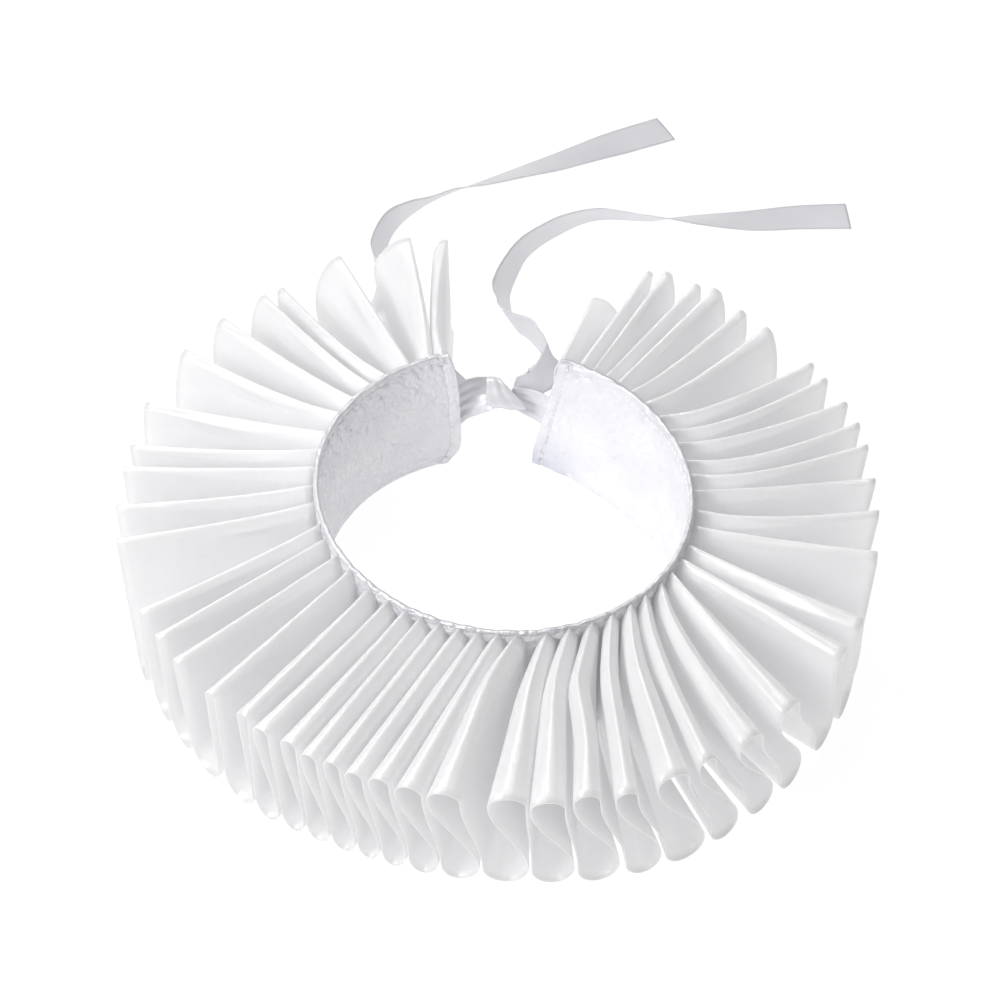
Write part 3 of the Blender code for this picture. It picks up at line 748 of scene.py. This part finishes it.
# %% The fold table
# One row for each pleat, from the left end of the band round the front to the right end.
# sewn: turn of the crest at the band. swirl: how far round its outer end lies from there.
# lift: its outer end is this many mm above the usual height.
# open: most half width in mm that its crest opens to at the outer edge.
# slant: degrees that the lower loop after it is pushed on from the middle between two crests.
# tuck: mm that both are drawn in. bow: mm that the crest bends sideways on its way out.
# belly: mm that the leg after the crest bulges out at the free edge, or before it if negative.
# foot: mm that the lower loop stands off the table. loop: most half width in mm of that loop.
# kink: the same as bow, but sharper and nearer the band.
Pleat = namedtuple("Pleat", "sewn swirl lift open slant tuck bow belly foot loop kink",
                   defaults=(0, 0, 0, 0, 7, 0))
PLEATS = [
    Pleat(-161.0, -9.0, 1, 0.9, 0, 0, 2.4, 4, foot=6),
    Pleat(-156.5, -7.5, 4, 0.9, 0, 0, -1, 9.5, foot=18),
    Pleat(-151.0, -1.5, 3, 0.9, 0, 0, 0, 7.5, foot=3),
    Pleat(-145.0, 3, -1, 1, 0, 0, 2.5, 1.5),
    Pleat(-139.5, 1, 0, 0.9, 0, 0, 1.8, 5),
    Pleat(-132.0, 2, 1, 1, 0, 0, 1.3, 4.5),
    Pleat(-125.0, 4, 1, 0.9, 0, -1, 2.6, 5),
    Pleat(-115.0, 7, 1, 1, 1, -1, 0.5, 3.5),
    Pleat(-107.0, 8, 0, 1.1, 1, 0, 1.5),
    Pleat(-99.0, 4.8, 0, 1.2, 0, 0, 0.8),
    Pleat(-91.0, 5, 0, 1.2, 0, -1, 1.5),
    Pleat(-83.0, 4, 0, 1.3, 1, -2, 1.2),
    Pleat(-73.0, 9, 0, 1.4, 0, -2, 0.8),
    Pleat(-66.5, 8, 0, 1.5, 0.5, -1),
    Pleat(-58.0, 5, 0, 1.7, 0.5, -1),
    Pleat(-50.5, 5.8, 1, 2, 1, -1),
    Pleat(-41.2, 2.8, 2, 2.2, 1.5, 0, 0.5),
    Pleat(-34.0, -1.2, 0, 2.8, 2, 0, 0.6),
    Pleat(-27.7, -3.1, -0.5, 2.8, 2.2, 1.8, 0.4),
    Pleat(-22.6, -4.9, -2.5, 2.8, 3, 1.8),
    Pleat(-17.2, -6.8, -2.5, 2.8, 3.5, 2.8),
    Pleat(-11.5, -9, -3.5, 3, 3.5, 2.8),
    Pleat(-6.0, -10.7, -2.5, 3.4, 4, 2.8),
    Pleat(-0.9, -11.6, -3, 4.4, 4.4, 2.8, -0.5),
    Pleat(4.4, -12, -3, 5.4, 4.6, 2.8, -2, loop=8.5, kink=-0.4),
    Pleat(12.5, -11, -3, 6.2, 4, 2.8, -1, loop=7.5, kink=-0.6),
    Pleat(18.7, -11.8, -2.8, 5.4, 5, 1, -2, kink=-0.6),
    Pleat(25.2, -13.2, 0, 4, 6.2, 0, -1, loop=5.6, kink=-3),
    Pleat(31.5, -14.1, -0.8, 3.4, 6.3, -1, -1.6, kink=-0.8),
    Pleat(37.7, -13.5, 0.5, 5.2, 7.2, -0.3, -1.8, loop=5.2, kink=-0.6),
    Pleat(43.5, -13.8, 0, 3, 7.9, 1.2, -2.4, loop=5.2),
    Pleat(50.5, -13.3, 0, 4.6, 7, 1, -3.2, loop=5.2),
    Pleat(56.0, -10.8, 0, 4.6, 5.7, 2, -0.6, loop=6),
    Pleat(62.5, -4, 0, 3.6, 3.5, 1),
    Pleat(69.0, -4, 0, 2.8, 3, 1, -0.5),
    Pleat(77.5, 1.5, 0, 2.4, 2, 3, -0.5),
    Pleat(84.5, 3.5, 0, 1.8, 2, 2, -3),
    Pleat(92.5, 3, -1, 1.4, 1, 1, -0.5),
    Pleat(99.5, 3, 0, 1.3, 1, 0, -3.6),
    Pleat(106.0, 1, 1, 1.2, 0, 0, -4.4),
    Pleat(114.0, -2, 1, 1.2, 0, 0, -3.2),
    Pleat(119.5, -1, 0, 1.2, 0, 0, -4),
    Pleat(125.5, -3, 0, 1.2, 0, 0, -3.6),
    Pleat(131.5, 2, -1, 1.3, 0, 0, -2.4, -4.5),
    Pleat(138.0, 1, -1, 1.2, 0, 0, -1.6, -2),
    Pleat(143.5, 1, 2, 1.2, 0, 0, 0, -4),
    Pleat(148.0, 0, 0, 1.2, 0, 0, 0, -1),
    Pleat(152.5, 1, 0, 1.2, 0, 0, 0, -2.5),
    Pleat(156.5, 0, -2, 1.2, 0, 1),
    Pleat(162.5, 2.7, -17.5, 1.2, 0, 6, 0, -8),
]
print(len(PLEATS), "pleats")


# %% From the table to folded edges
def half_width(centres, index, side, most, radius=OUTER_RADIUS, clear=CLEAR):
    """How far a loop opens towards its neighbour on one side, in metres."""
    other = index + side
    if not 0 <= other < len(centres):
        return most
    apart = math.radians(abs(centres[index] - centres[other])) * radius
    return min(most, apart / 2 - clear)


def half_pleat(way, crest_turn, crest_half, crest_top, foot_turn, foot_half, foot_low, radius,
               belly=0.0, pointed=False):
    """(turn, height) down one leg, from the top of a crest to the bottom of the lower loop.

    way is 1 for the leg after the crest and -1 for the one before it.
    """
    per_metre = math.degrees(1 / radius)
    crest_depth = SEWN_DEPTH if pointed else min(crest_half, CREST_DEPTH)
    foot_depth = foot_half if pointed else FOOT_DEPTH
    # The legs of a round crest start and end plumb, and those of a sharp one slope at once.
    plumb = 1.0 if pointed else min(1.0, crest_half / ROUND_CREST)
    points = []
    for step in range(LOOP_STEPS + 1):
        angle = math.radians(90 * step / LOOP_STEPS)
        turn = crest_turn + way * crest_half * math.sin(angle) * per_metre
        down = step / LOOP_STEPS if pointed else 1 - math.cos(angle)
        points.append((turn, crest_top - crest_depth * down))
    leg_from, leg_to = points[-1][0], foot_turn - way * foot_half * per_metre
    for step in range(1, LEG_STEPS):
        share = step / LEG_STEPS
        height = mix(crest_top - crest_depth, foot_low + foot_depth, share)
        points.append((mix(leg_from, leg_to, mix(share, ease(share), plumb)), height))
    for step in range(LOOP_STEPS + 1):
        angle = math.radians(90 * step / LOOP_STEPS)
        turn = foot_turn - way * foot_half * math.cos(angle) * per_metre
        points.append((turn, foot_low + foot_depth * (1 - math.sin(angle))))
    fall = crest_top - foot_low
    drops = [min(max((crest_top - height) / fall, 0.0), 1.0) for _, height in points]
    return [(turn + way * belly * per_metre * math.sin(math.pi * drop ** BELLY_AT), height)
            for drop, (turn, height) in zip(drops, points)]


HALF_COLUMNS = 2 * LOOP_STEPS + LEG_STEPS  # steps in one half pleat
LAST = len(PLEATS) - 1


def edge_outline(free_edge):
    """The folded edge of the whole strip, along the band or along the outer edge."""
    sewn = [pleat.sewn for pleat in PLEATS]
    free = [pleat.sewn + pleat.swirl for pleat in PLEATS]
    foot_sewn = [(a + b) / 2 for a, b in zip(sewn, sewn[1:])]
    foot_free = [(a + b) / 2 + pleat.slant for a, b, pleat in zip(free, free[1:], PLEATS)]
    crests, feet = (free, foot_free) if free_edge else (sewn, foot_sewn)
    radius = OUTER_RADIUS if free_edge else INNER_RADIUS
    outline = []
    for index, pleat in enumerate(PLEATS):
        top = CREST_FREE + pleat.lift * MM if free_edge else read_off(SEWN_HEIGHTS, pleat.sewn) * MM
        for way, other in ((-1, index - 1), (1, index)):
            crest_wide = half_width(sewn, index, way, SEWN_HALF, INNER_RADIUS, SEWN_CLEAR)
            foot_wide, low, belly = PINCH_HALF, FOOT_SEWN, 0.0
            if free_edge:
                crest_wide = half_width(free, index, way, pleat.open * MM)
                belly = max(0.0, way * pleat.belly) * MM
            if other < 0 or other == LAST:
                foot_turn, low = crests[index] + way * FREE_LEG, FREE_FOOT
            else:
                foot_turn = feet[other]
                if free_edge:
                    low = CLOTH / 2 + PLEATS[other].foot * MM
                    foot_wide = half_width(foot_free, other, -way, PLEATS[other].loop * MM)
            leg = half_pleat(way, crests[index], crest_wide, top, foot_turn, foot_wide, low, radius,
                             belly, pointed=not free_edge)
            outline += list(reversed(leg)) if way < 0 else leg[1:-1]
    return outline + [leg[-1]]


def column_place(column):
    """(index of the pleat, side of its crest, share of the way down its leg) of a column."""
    pleat, step = divmod(column, 2 * HALF_COLUMNS)
    if pleat > LAST:
        return LAST, 1, 1.0
    down = step - HALF_COLUMNS
    return pleat, 1 if down > 0 else -1, abs(down) / HALF_COLUMNS


# %% Threads from the band to the free edge
def ruffle_lines():
    """Guide lines of the ruffle, from the band outwards."""
    inner, outer = edge_outline(False), edge_outline(True)
    threads = []
    for column, ((turn_in, height_in), (turn_out, height_out)) in enumerate(zip(inner, outer)):
        start = place(turn_in, band_radius(turn_in, height_in) + BAND_WALL + SEAM, height_in)
        up = height_out / CREST_FREE
        along = column / (len(outer) - 1) * LAST
        near, far = PLEATS[int(along)], PLEATS[min(int(along) + 1, LAST)]
        tuck = mix(near.tuck, far.tuck, along % 1) * MM
        reach = neck_radius(turn_out) + mix(FOOT_REACH, CREST_REACH, min(up, 1.0)) - tuck
        threads.append((start, place(turn_out, reach, height_out)))
    lines = []
    for station in range(STATIONS):
        share = station / (STATIONS - 1)
        bell = math.sin(math.pi * share ** BOW_AT)
        sharp = max(0.0, 1 - abs(share - KINK_AT) / KINK_LONG)
        line = []
        for column, (start, end) in enumerate(threads):
            pleat, _, down = column_place(column)
            crest = threads[min((2 * pleat + 1) * HALF_COLUMNS, len(threads) - 1)]
            point = start.lerp(end, share)
            run = (crest[1] - crest[0]).to_2d().normalized()
            side = Vector((-run.y, run.x, 0))
            # The line of the crest bends as the table says, and its legs less and less.
            row = PLEATS[pleat]
            sway = (row.bow * bell + row.kink * sharp) * MM
            point += side * sway * (1 - ease(down))
            line.append(point)
        lines.append(line)
    return lines


guide_lines = ruffle_lines()

# %% [markdown]
# ## Creases, one by one
#
# Real satin that has been folded, packed and handled keeps soft creases. A noise texture makes
# them all alike, so each one here is a row of a table: where it is, how long, how wide, and how
# deep. The vertices of the cloth near its line are pushed along their normals by a bell-shaped
# amount. A ridge is positive and a trough negative.

# %% Creases of the ruffle
# pleat: counted from the left end. side: -1 is the leg before its crest, 1 the leg after it.
# drop: mm below the crest where the crease starts and ends. near, far: mm from the band.
# wide: half width in mm. deep: mm, towards the outside of the crest where positive.
Crease = namedtuple("Crease", "pleat side drop_near drop_far near far wide deep")
RUFFLE_CREASES = [Crease(*row) for row in (
    # left back
    (1, -1, 7, 12, 8, 50, 2.0, 0.5), (2, 1, 6, 13, 5, 38, 2.2, -0.8),
    (2, 1, 15, 20, 22, 58, 2.8, 0.7), (3, 1, 5, 11, 6, 44, 2.2, -0.7),
    (3, 1, 17, 14, 20, 60, 2.6, 0.6), (4, 1, 9, 16, 4, 32, 1.8, 0.5),
    (5, 1, 7, 10, 14, 56, 2.0, -0.5),
    # left
    (7, 1, 8, 18, 6, 46, 2.4, 0.6), (8, 1, 12, 9, 18, 60, 2.6, -0.6),
    (9, 1, 6, 10, 4, 28, 1.6, -0.5), (11, -1, 14, 20, 20, 58, 2.8, 0.5),
    (12, 1, 7, 16, 5, 40, 2.2, -0.7), (13, 1, 10, 22, 16, 60, 2.8, 0.6),
    (15, 1, 6, 9, 8, 34, 1.6, 0.4),
    # front
    (17, -1, 5, 8, 12, 52, 1.5, -0.45), (20, -1, 6, 5, 8, 40, 1.4, 0.4),
    (23, -1, 5, 9, 6, 36, 1.5, -0.5), (24, 1, 8, 14, 12, 55, 2.2, -0.5),
    (25, -1, 7, 10, 22, 60, 2.0, 0.5), (26, 1, 6, 12, 5, 36, 1.8, -0.6),
    (28, 1, 8, 6, 16, 54, 1.6, 0.5), (30, -1, 7, 15, 10, 48, 2.0, -0.6),
    (31, -1, 12, 18, 24, 60, 2.4, 0.6), (32, -1, 6, 10, 4, 30, 1.6, -0.5),
    # right
    (34, -1, 8, 20, 8, 50, 2.6, 0.7), (35, -1, 13, 10, 20, 60, 2.4, -0.6),
    (36, -1, 7, 12, 4, 34, 1.8, 0.5), (38, -1, 9, 18, 14, 58, 2.4, -0.6),
    (40, -1, 6, 11, 6, 40, 1.8, 0.5), (42, -1, 8, 14, 18, 60, 2.2, -0.5),
    # right back
    (44, -1, 7, 16, 8, 52, 2.4, 0.6), (46, -1, 6, 12, 5, 38, 1.8, -0.6),
    (48, -1, 9, 7, 16, 56, 1.8, 0.5),
    # sides that face away, much the same
    (6, -1, 9, 18, 10, 54, 2.4, -0.6), (10, -1, 7, 14, 6, 40, 2.0, 0.6),
    (22, 1, 9, 16, 14, 56, 2.0, 0.5), (33, 1, 8, 15, 8, 46, 2.2, -0.6),
    (37, 1, 10, 19, 16, 60, 2.6, 0.6), (43, 1, 7, 13, 6, 42, 2.0, -0.5),
    (47, 1, 9, 17, 12, 54, 2.2, 0.5),
)]


def press_creases(piece, creases):
    """Push the cloth's points out or in along the lines of a crease table."""
    points = read_numbers(piece.data.vertices, "co")
    normals = read_numbers(piece.data.vertex_normals, "vector")
    column, row = np.divmod(np.arange(len(points)), ROWS)
    places = [column_place(number) for number in range(len(points) // ROWS)]
    pleat, side, down = (np.array(values) for values in zip(*places))
    out = row / (ROWS - 1) * CLOTH_DEPTH
    for crease in creases:
        on_leg = (pleat[column] == crease.pleat - 1) & (side[column] == crease.side)
        t = np.clip((out / MM - crease.near) / (crease.far - crease.near), 0, 1)
        drop = down[column] * LEG / MM - mix(crease.drop_near, crease.drop_far, t)
        bell = np.exp(-(drop / crease.wide) ** 2) * np.sin(math.pi * t) * on_leg
        points += normals * (bell * crease.deep * MM)[:, None]
    write_places(piece.data, points)


ruffle = cloth_through("pleated_ruffle", guide_lines, CLOTH_DEPTH, ROWS, ruffle_satin,
                       ripple=0.35 * MM, ripples=55.0, seed=2.0)
press_creases(ruffle, RUFFLE_CREASES)
thicken(ruffle, CLOTH)
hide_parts("ruffle_strip_1", "ruffle_strip_2", "ruffle_strip_3", "ruffle_strip_4")
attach(ruffle, "root")
print("ruffle:", len(ruffle.data.polygons), "faces")

# %% [markdown]
# ## The neckband
#
# The band is satin folded over a stiffener and stitched near its edges, so it stands by itself
# but its face is not smooth: it puckers along the stitches and wrinkles near the ends. One sheet
# up the band is pressed in and out by a table of creases and by its rows of stitching, and then
# gets its wall. A sculpted or simulated sheet would also do, but a table keeps each crease where
# it belongs.

# %% Ends of the band
BAND_ROWS = 60
BAND_COLUMNS = 500
BAND_CROWDED = 0.6  # how much the columns crowd towards the two ends, where the hems are
BAND_STATIONS = (0.0, 0.12, 0.3, 0.5, 0.7, 0.88, 1.0)
TOP_WAVE = 0.35 * MM  # the gathered top edge is never quite level
# (height, left turn, right turn) of the two ends of the band, whose corners are rounded.
BAND_ENDS = (
    (0.0, -162.0, 170.6),
    (2.5 * MM, -164.8, 171.0),
    (8.0 * MM, -166.6, 170.2),
    (30.0 * MM, -166.0, 166.3),
    (42.0 * MM, -164.6, 164.2),
    (49.5 * MM, -162.6, 163.0),
)


def band_end(height):
    """The turns of the band's two ends at a height."""
    return read_off(BAND_ENDS, height, 1), read_off(BAND_ENDS, height, 2)


def band_lines():
    """Guide lines of the band, from its foot to its top edge."""
    lines = []
    for share in BAND_STATIONS:
        height = share * BAND_HEIGHT
        left, right = band_end(height)
        line = []
        for column in range(BAND_COLUMNS + 1):
            t = column / BAND_COLUMNS
            turn = mix(left, right, mix(t, 0.5 - 0.5 * math.cos(math.pi * t), BAND_CROWDED))
            # Two waves that don't keep step, felt only near the top.
            wave = TOP_WAVE * share ** 4 * math.sin(0.83 * turn) * math.sin(0.31 * turn + 1)
            line.append(place(turn, band_radius(turn, height) + BAND_WALL / 2, height + wave))
        lines.append(line)
    return lines


# %% Creases of the neckband
# A line from one place on the band to another: turn in degrees, height in mm. wide: half width in
# mm. deep: mm, positive where the satin stands out towards the neck.
BandCrease = namedtuple("BandCrease", "turn height to_turn to_height wide deep")
BAND_CREASES = [BandCrease(*row) for row in (
    # near the right end
    (164, 11, 157, 4.6, 0.8, 0.55), (167, 15, 155, 0, 2.2, -0.7),
    (161, 41.5, 152, 46, 0.9, -0.6), (161.5, 46, 151.5, 48, 0.8, 0.4),
    (161, 20, 153, 13, 1.3, 0.4), (158, 26, 147, 31, 2.6, 0.35), (152, 20, 140, 12, 2.4, -0.35),
    (149, 41, 137, 36, 1.8, -0.4), (141, 28, 130, 33, 2.4, 0.35), (134, 22, 122, 12, 2.2, 0.3),
    (127, 41, 117, 33, 1.8, -0.35), (118, 27, 109, 16, 2.0, -0.3),
    (103, 49, 101.5, 30, 1.2, -0.6), (101.5, 34, 106, 8, 1.0, -0.5), (99, 40, 97, 20, 1.3, 0.4),
    # round the front
    (84, 44, 76, 30, 1.6, -0.35), (61, 20, 52, 9, 2.0, 0.3), (38, 42, 33, 25, 1.4, -0.35),
    (12, 18, 2, 8, 2.0, -0.3), (-14, 43, -18, 27, 1.5, 0.35), (-39, 22, -47, 10, 1.8, -0.3),
    (-66, 44, -71, 28, 1.4, -0.4),
    # near the left end
    (-93, 34, -97, 12, 2.0, 0.3), (-108, 40, -116, 30, 1.8, -0.35),
    (-121, 43, -123, 36, 1.4, 0.45), (-130, 44, -131.5, 38, 1.5, 0.5),
    (-137, 44, -139, 36, 1.5, 0.5), (-141, 30, -128, 20, 2.6, -0.35),
    (-149, 46, -155.5, 39, 0.8, 0.5), (-150, 40, -158, 33, 1.4, -0.35),
    (-146, 22, -156, 14, 2.4, 0.3), (-158, 29, -164, 12, 1.2, 0.35),
)]
HEM = 3.3 * MM  # from an edge of the band to the stitching beside it
HEM_STEP = 0.3 * MM  # the folded hem is this much thicker
HEM_FOLD = (HEM - 0.4 * MM, HEM + 0.2 * MM)  # from the edge, to where it starts and ends to fall
DRAWN_IN = 0.35 * MM  # how far a row of stitching pulls the cloth in
DRAWN_WIDE = 0.8 * MM
PUCKER = 0.3 * MM  # height of the small folds that the stitching gathers
PUCKER_WIDE = 2.2 * MM


def stitch_depth(apart, along):
    """How far cloth is drawn in, and puckered, at a distance from a row of stitching."""
    trough = -DRAWN_IN * np.exp(-(apart / DRAWN_WIDE) ** 2)
    # Small folds whose spacing and height wander along the row.
    folds = np.sin(along / (0.62 * MM) + 1.3 * np.sin(along / (7.3 * MM)))
    folds *= 0.55 + 0.45 * np.sin(along / (3.9 * MM) + 2)
    return trough + PUCKER * folds * np.exp(-(apart / PUCKER_WIDE) ** 2)


def crease_depth(crease, flat):
    """How far a crease pushes each place on the flat band, given as metres round and up."""
    start = np.array((math.radians(crease.turn) * NECK_RADIUS, crease.height * MM))
    end = np.array((math.radians(crease.to_turn) * NECK_RADIUS, crease.to_height * MM))
    run, off = end - start, flat - start
    t = np.clip(off @ run / (run @ run), 0, 1)
    apart = np.linalg.norm(off - t[:, None] * run, axis=1)
    bell = np.exp(-(apart / (crease.wide * MM)) ** 2)
    return crease.deep * MM * bell * np.sin(math.pi * t) ** 0.7


def press_band(piece):
    """Push the satin in or out along its creases, its stitching and its hems."""
    points = read_numbers(piece.data.vertices, "co")
    across = points[:, :2] - np.array(NECK_CENTRE)
    turn = np.degrees(np.arctan2(across[:, 0], -across[:, 1]))
    height = points[:, 2]
    flat = np.stack([np.radians(turn) * NECK_RADIUS, height], 1)
    rise = sum(crease_depth(crease, flat) for crease in BAND_CREASES)
    rise += stitch_depth(np.abs(height - (BAND_HEIGHT - HEM)), flat[:, 0])
    ends = np.array([band_end(value) for value in height])
    for end in (0, 1):
        inside = np.abs(np.radians(turn - ends[:, end])) * NECK_RADIUS
        rise += stitch_depth(np.abs(inside - HEM), height)
        rise += np.interp(inside, HEM_FOLD, (HEM_STEP, 0.0))
    points[:, :2] -= across / np.linalg.norm(across, axis=1)[:, None] * rise[:, None]
    write_places(piece.data, points)


# %% Band sheet
band = cloth_through("neckband_satin", band_lines(), BAND_HEIGHT, BAND_ROWS, band_satin,
                     ripple=0.5 * MM, ripples=150.0, seed=5.0)
press_band(band)
thicken(band, BAND_WALL)
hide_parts("neckband")
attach(band, "root")
print("neckband:", len(band.data.polygons), "faces,", len(BAND_CREASES), "creases")

# %% [markdown]
# ## The stitching
#
# A lockstitch machine leaves a row of short threads along the top of the band and beside its two
# ends. A bump pattern could draw them, but a real thread catches the light on one side. They
# repeat along a path, so a small Geometry Nodes tree sets one bead on each step of it, and turns
# each a little crooked by a seeded random value.

# %% The stitch tree
def make_stitch_tree():
    tree, given = new_tree("running stitch", {
        "Path": "Geometry", "Pitch": "Float", "Stitch length": "Float",
        "Thread thickness": "Float", "Crooked": "Float", "Seed": "Int", "Thread": "Material"})
    curve = add_node(tree, "GeometryNodeMeshToCurve", None, {0: given["Path"]}).outputs[0]
    holes = add_node(tree, "GeometryNodeCurveToPoints", {"mode": "LENGTH"},
                     {"Curve": curve, "Length": given["Pitch"]})
    turned = add_node(tree, "FunctionNodeAlignRotationToVector", {"axis": "X"},
                      {"Vector": holes.outputs["Tangent"]}).outputs[0]
    most = add_node(tree, "ShaderNodeCombineXYZ", None,
                    {1: given["Crooked"], 2: given["Crooked"]}).outputs[0]
    least = add_node(tree, "ShaderNodeVectorMath", {"operation": "SCALE"},
                     {0: most, "Scale": -1.0}).outputs[0]
    chance = add_node(tree, "FunctionNodeRandomValue", {"data_type": "FLOAT_VECTOR"},
                      {0: least, 1: most, "Seed": given["Seed"]}).outputs[0]
    crooked = add_node(tree, "FunctionNodeRotateRotation", {"rotation_space": "LOCAL"},
                       {"Rotation": turned, "Rotate By": chance}).outputs[0]
    # One stitch is a long smooth bead, whose two ends sink into the cloth.
    bead = add_node(tree, "GeometryNodeMeshUVSphere", None,
                    {"Segments": 8, "Rings": 6, "Radius": 0.5}).outputs[0]
    size = add_node(tree, "ShaderNodeCombineXYZ", None,
                    {0: given["Stitch length"], 1: given["Thread thickness"],
                     2: given["Thread thickness"]}).outputs[0]
    stitch = add_node(tree, "GeometryNodeTransform", None, {0: bead, "Scale": size}).outputs[0]
    smooth = add_node(tree, "GeometryNodeSetShadeSmooth", None, {0: stitch}).outputs[0]
    row = add_node(tree, "GeometryNodeInstanceOnPoints", None,
                   {"Points": holes.outputs["Points"], "Instance": smooth,
                    "Rotation": crooked}).outputs[0]
    finish_tree(tree, row, given["Thread"])
    return tree


# %% Stitching of the neckband
STITCH_PITCH = 2.7 * MM
STITCH_LONG = 2.0 * MM
STITCH_CROOKED = 0.12  # radians that a stitch turns aside at most
STITCH_OUT = 0.08 * MM  # its middle stands this far off the satin
END_STITCH_FROM = 1.5 * MM  # height where the rows beside the ends start
TOP_STEPS, END_STEPS = 300, 24
THREAD_THICK = 0.4 * MM  # a real one is 0.25 mm, drawn this thick so that it shows


def stitch_paths():
    """The row under the top edge and the rows beside the two ends, on the inner face."""
    across = math.degrees(HEM / NECK_RADIUS)
    top = BAND_HEIGHT - HEM
    left, right = band_end(top)
    rows = [[(mix(left + across, right - across, step / TOP_STEPS), top)
             for step in range(TOP_STEPS + 1)]]
    heights = [mix(END_STITCH_FROM, top, step / END_STEPS) for step in range(END_STEPS + 1)]
    for end, way in ((0, 1), (1, -1)):
        rows.append([(band_end(height)[end] + way * across, height) for height in heights])
    return [[place(turn, band_radius(turn, height) + STITCH_OUT, height) for turn, height in row]
            for row in rows]


stitch_points, stitch_edges = [], []
for path in stitch_paths():
    first = len(stitch_points)
    stitch_points += path
    stitch_edges += [(first + step, first + step + 1) for step in range(len(path) - 1)]
stitch_mesh = bpy.data.meshes.new("neckband_stitching")
stitch_mesh.from_pydata(stitch_points, stitch_edges, [])
stitches = run_tree(link("neckband_stitching", stitch_mesh), make_stitch_tree(),
                    {"Pitch": STITCH_PITCH, "Stitch length": STITCH_LONG,
                     "Thread thickness": THREAD_THICK, "Crooked": STITCH_CROOKED, "Seed": 7,
                     "Thread": thread_white})
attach(stitches, "root")
print("stitching:", len(stitches.data.polygons), "faces")

# %% [markdown]
# ## The table and the light
#
# White satin on a white table shows its form only by gentle shade. One large softbox stands at
# the left and two small lamps high at the back, so that the folds shade each other, and the white
# room fills what they leave. The inside of the band would then be too dark on its right. A
# brighter room would flatten everything, so a small lamp with a grid lights that side alone.

# %% Floor and room
TABLE_HALF = 3.0  # metres from its middle to an edge
TABLE_GLOW = 0.88  # strength of its emission
ROOM_LIGHT = 0.37  # strength of the world


def make_table_paint():
    """Matt white paint with a faint glow of its own, so that its white is even."""
    paint = bpy.data.materials.new("matt white table")
    paint.use_nodes = True
    shader = paint.node_tree.nodes["Principled BSDF"]
    shader.inputs["Base Color"].default_value = linear("#808080")
    shader.inputs["Roughness"].default_value = 0.9
    shader.inputs["Emission Color"].default_value = linear("#FFFFFF")
    shader.inputs["Emission Strength"].default_value = TABLE_GLOW
    return paint


corners = [(-1, -1), (1, -1), (1, 1), (-1, 1)]
floor_mesh = bpy.data.meshes.new("table")
floor_mesh.from_pydata([(x * TABLE_HALF, y * TABLE_HALF, 0) for x, y in corners], [], [(0, 1, 2, 3)])
floor_mesh.materials.append(make_table_paint())
floor = link("table", floor_mesh)
world = bpy.data.worlds.new("white room")
world.use_nodes = True
background = world.node_tree.nodes["Background"]
background.inputs["Color"].default_value = (1, 1, 1, 1)
background.inputs["Strength"].default_value = ROOM_LIGHT
bpy.context.scene.world = world
print("table:", 2 * TABLE_HALF, "m wide, room light", ROOM_LIGHT)


# %% Lamps
def add_lamp(name, size, power, at, aim=(0, 0, 0.02), grid=180.0):
    """A square softbox, with its side in metres and its power in watts, that faces a point.

    A grid on it keeps its light within so many degrees.
    """
    lamp_data = bpy.data.lights.new(name, "AREA")
    lamp_data.size = size
    lamp_data.energy = power
    lamp_data.spread = math.radians(grid)
    lamp = bpy.data.objects.new(name, lamp_data)
    lamp.location = at
    lamp.rotation_euler = (Vector(aim) - Vector(at)).to_track_quat("-Z", "Y").to_euler()
    bpy.context.scene.collection.objects.link(lamp)


add_lamp("softbox on the left", 0.35, 1.6, (-0.36, -0.28, 0.42))
add_lamp("small lamp overhead", 0.16, 2.0, (-0.22, 0.42, 0.76))
add_lamp("small lamp behind", 0.14, 0.8, (0.1, 0.55, 0.72))
add_lamp("gridded lamp for the neckband", 0.1, 0.036, (-0.37, -0.23, 0.4),
         aim=(0.035, 0.05, 0.05), grid=25.0)
scene = bpy.context.scene
scene.view_settings.view_transform = "Standard"
scene.view_settings.look = "None"
scene.cycles.max_bounces = 7
scene.cycles.diffuse_bounces = 4
scene.cycles.transmission_bounces = 4
print("lamps:", len(bpy.data.lights))
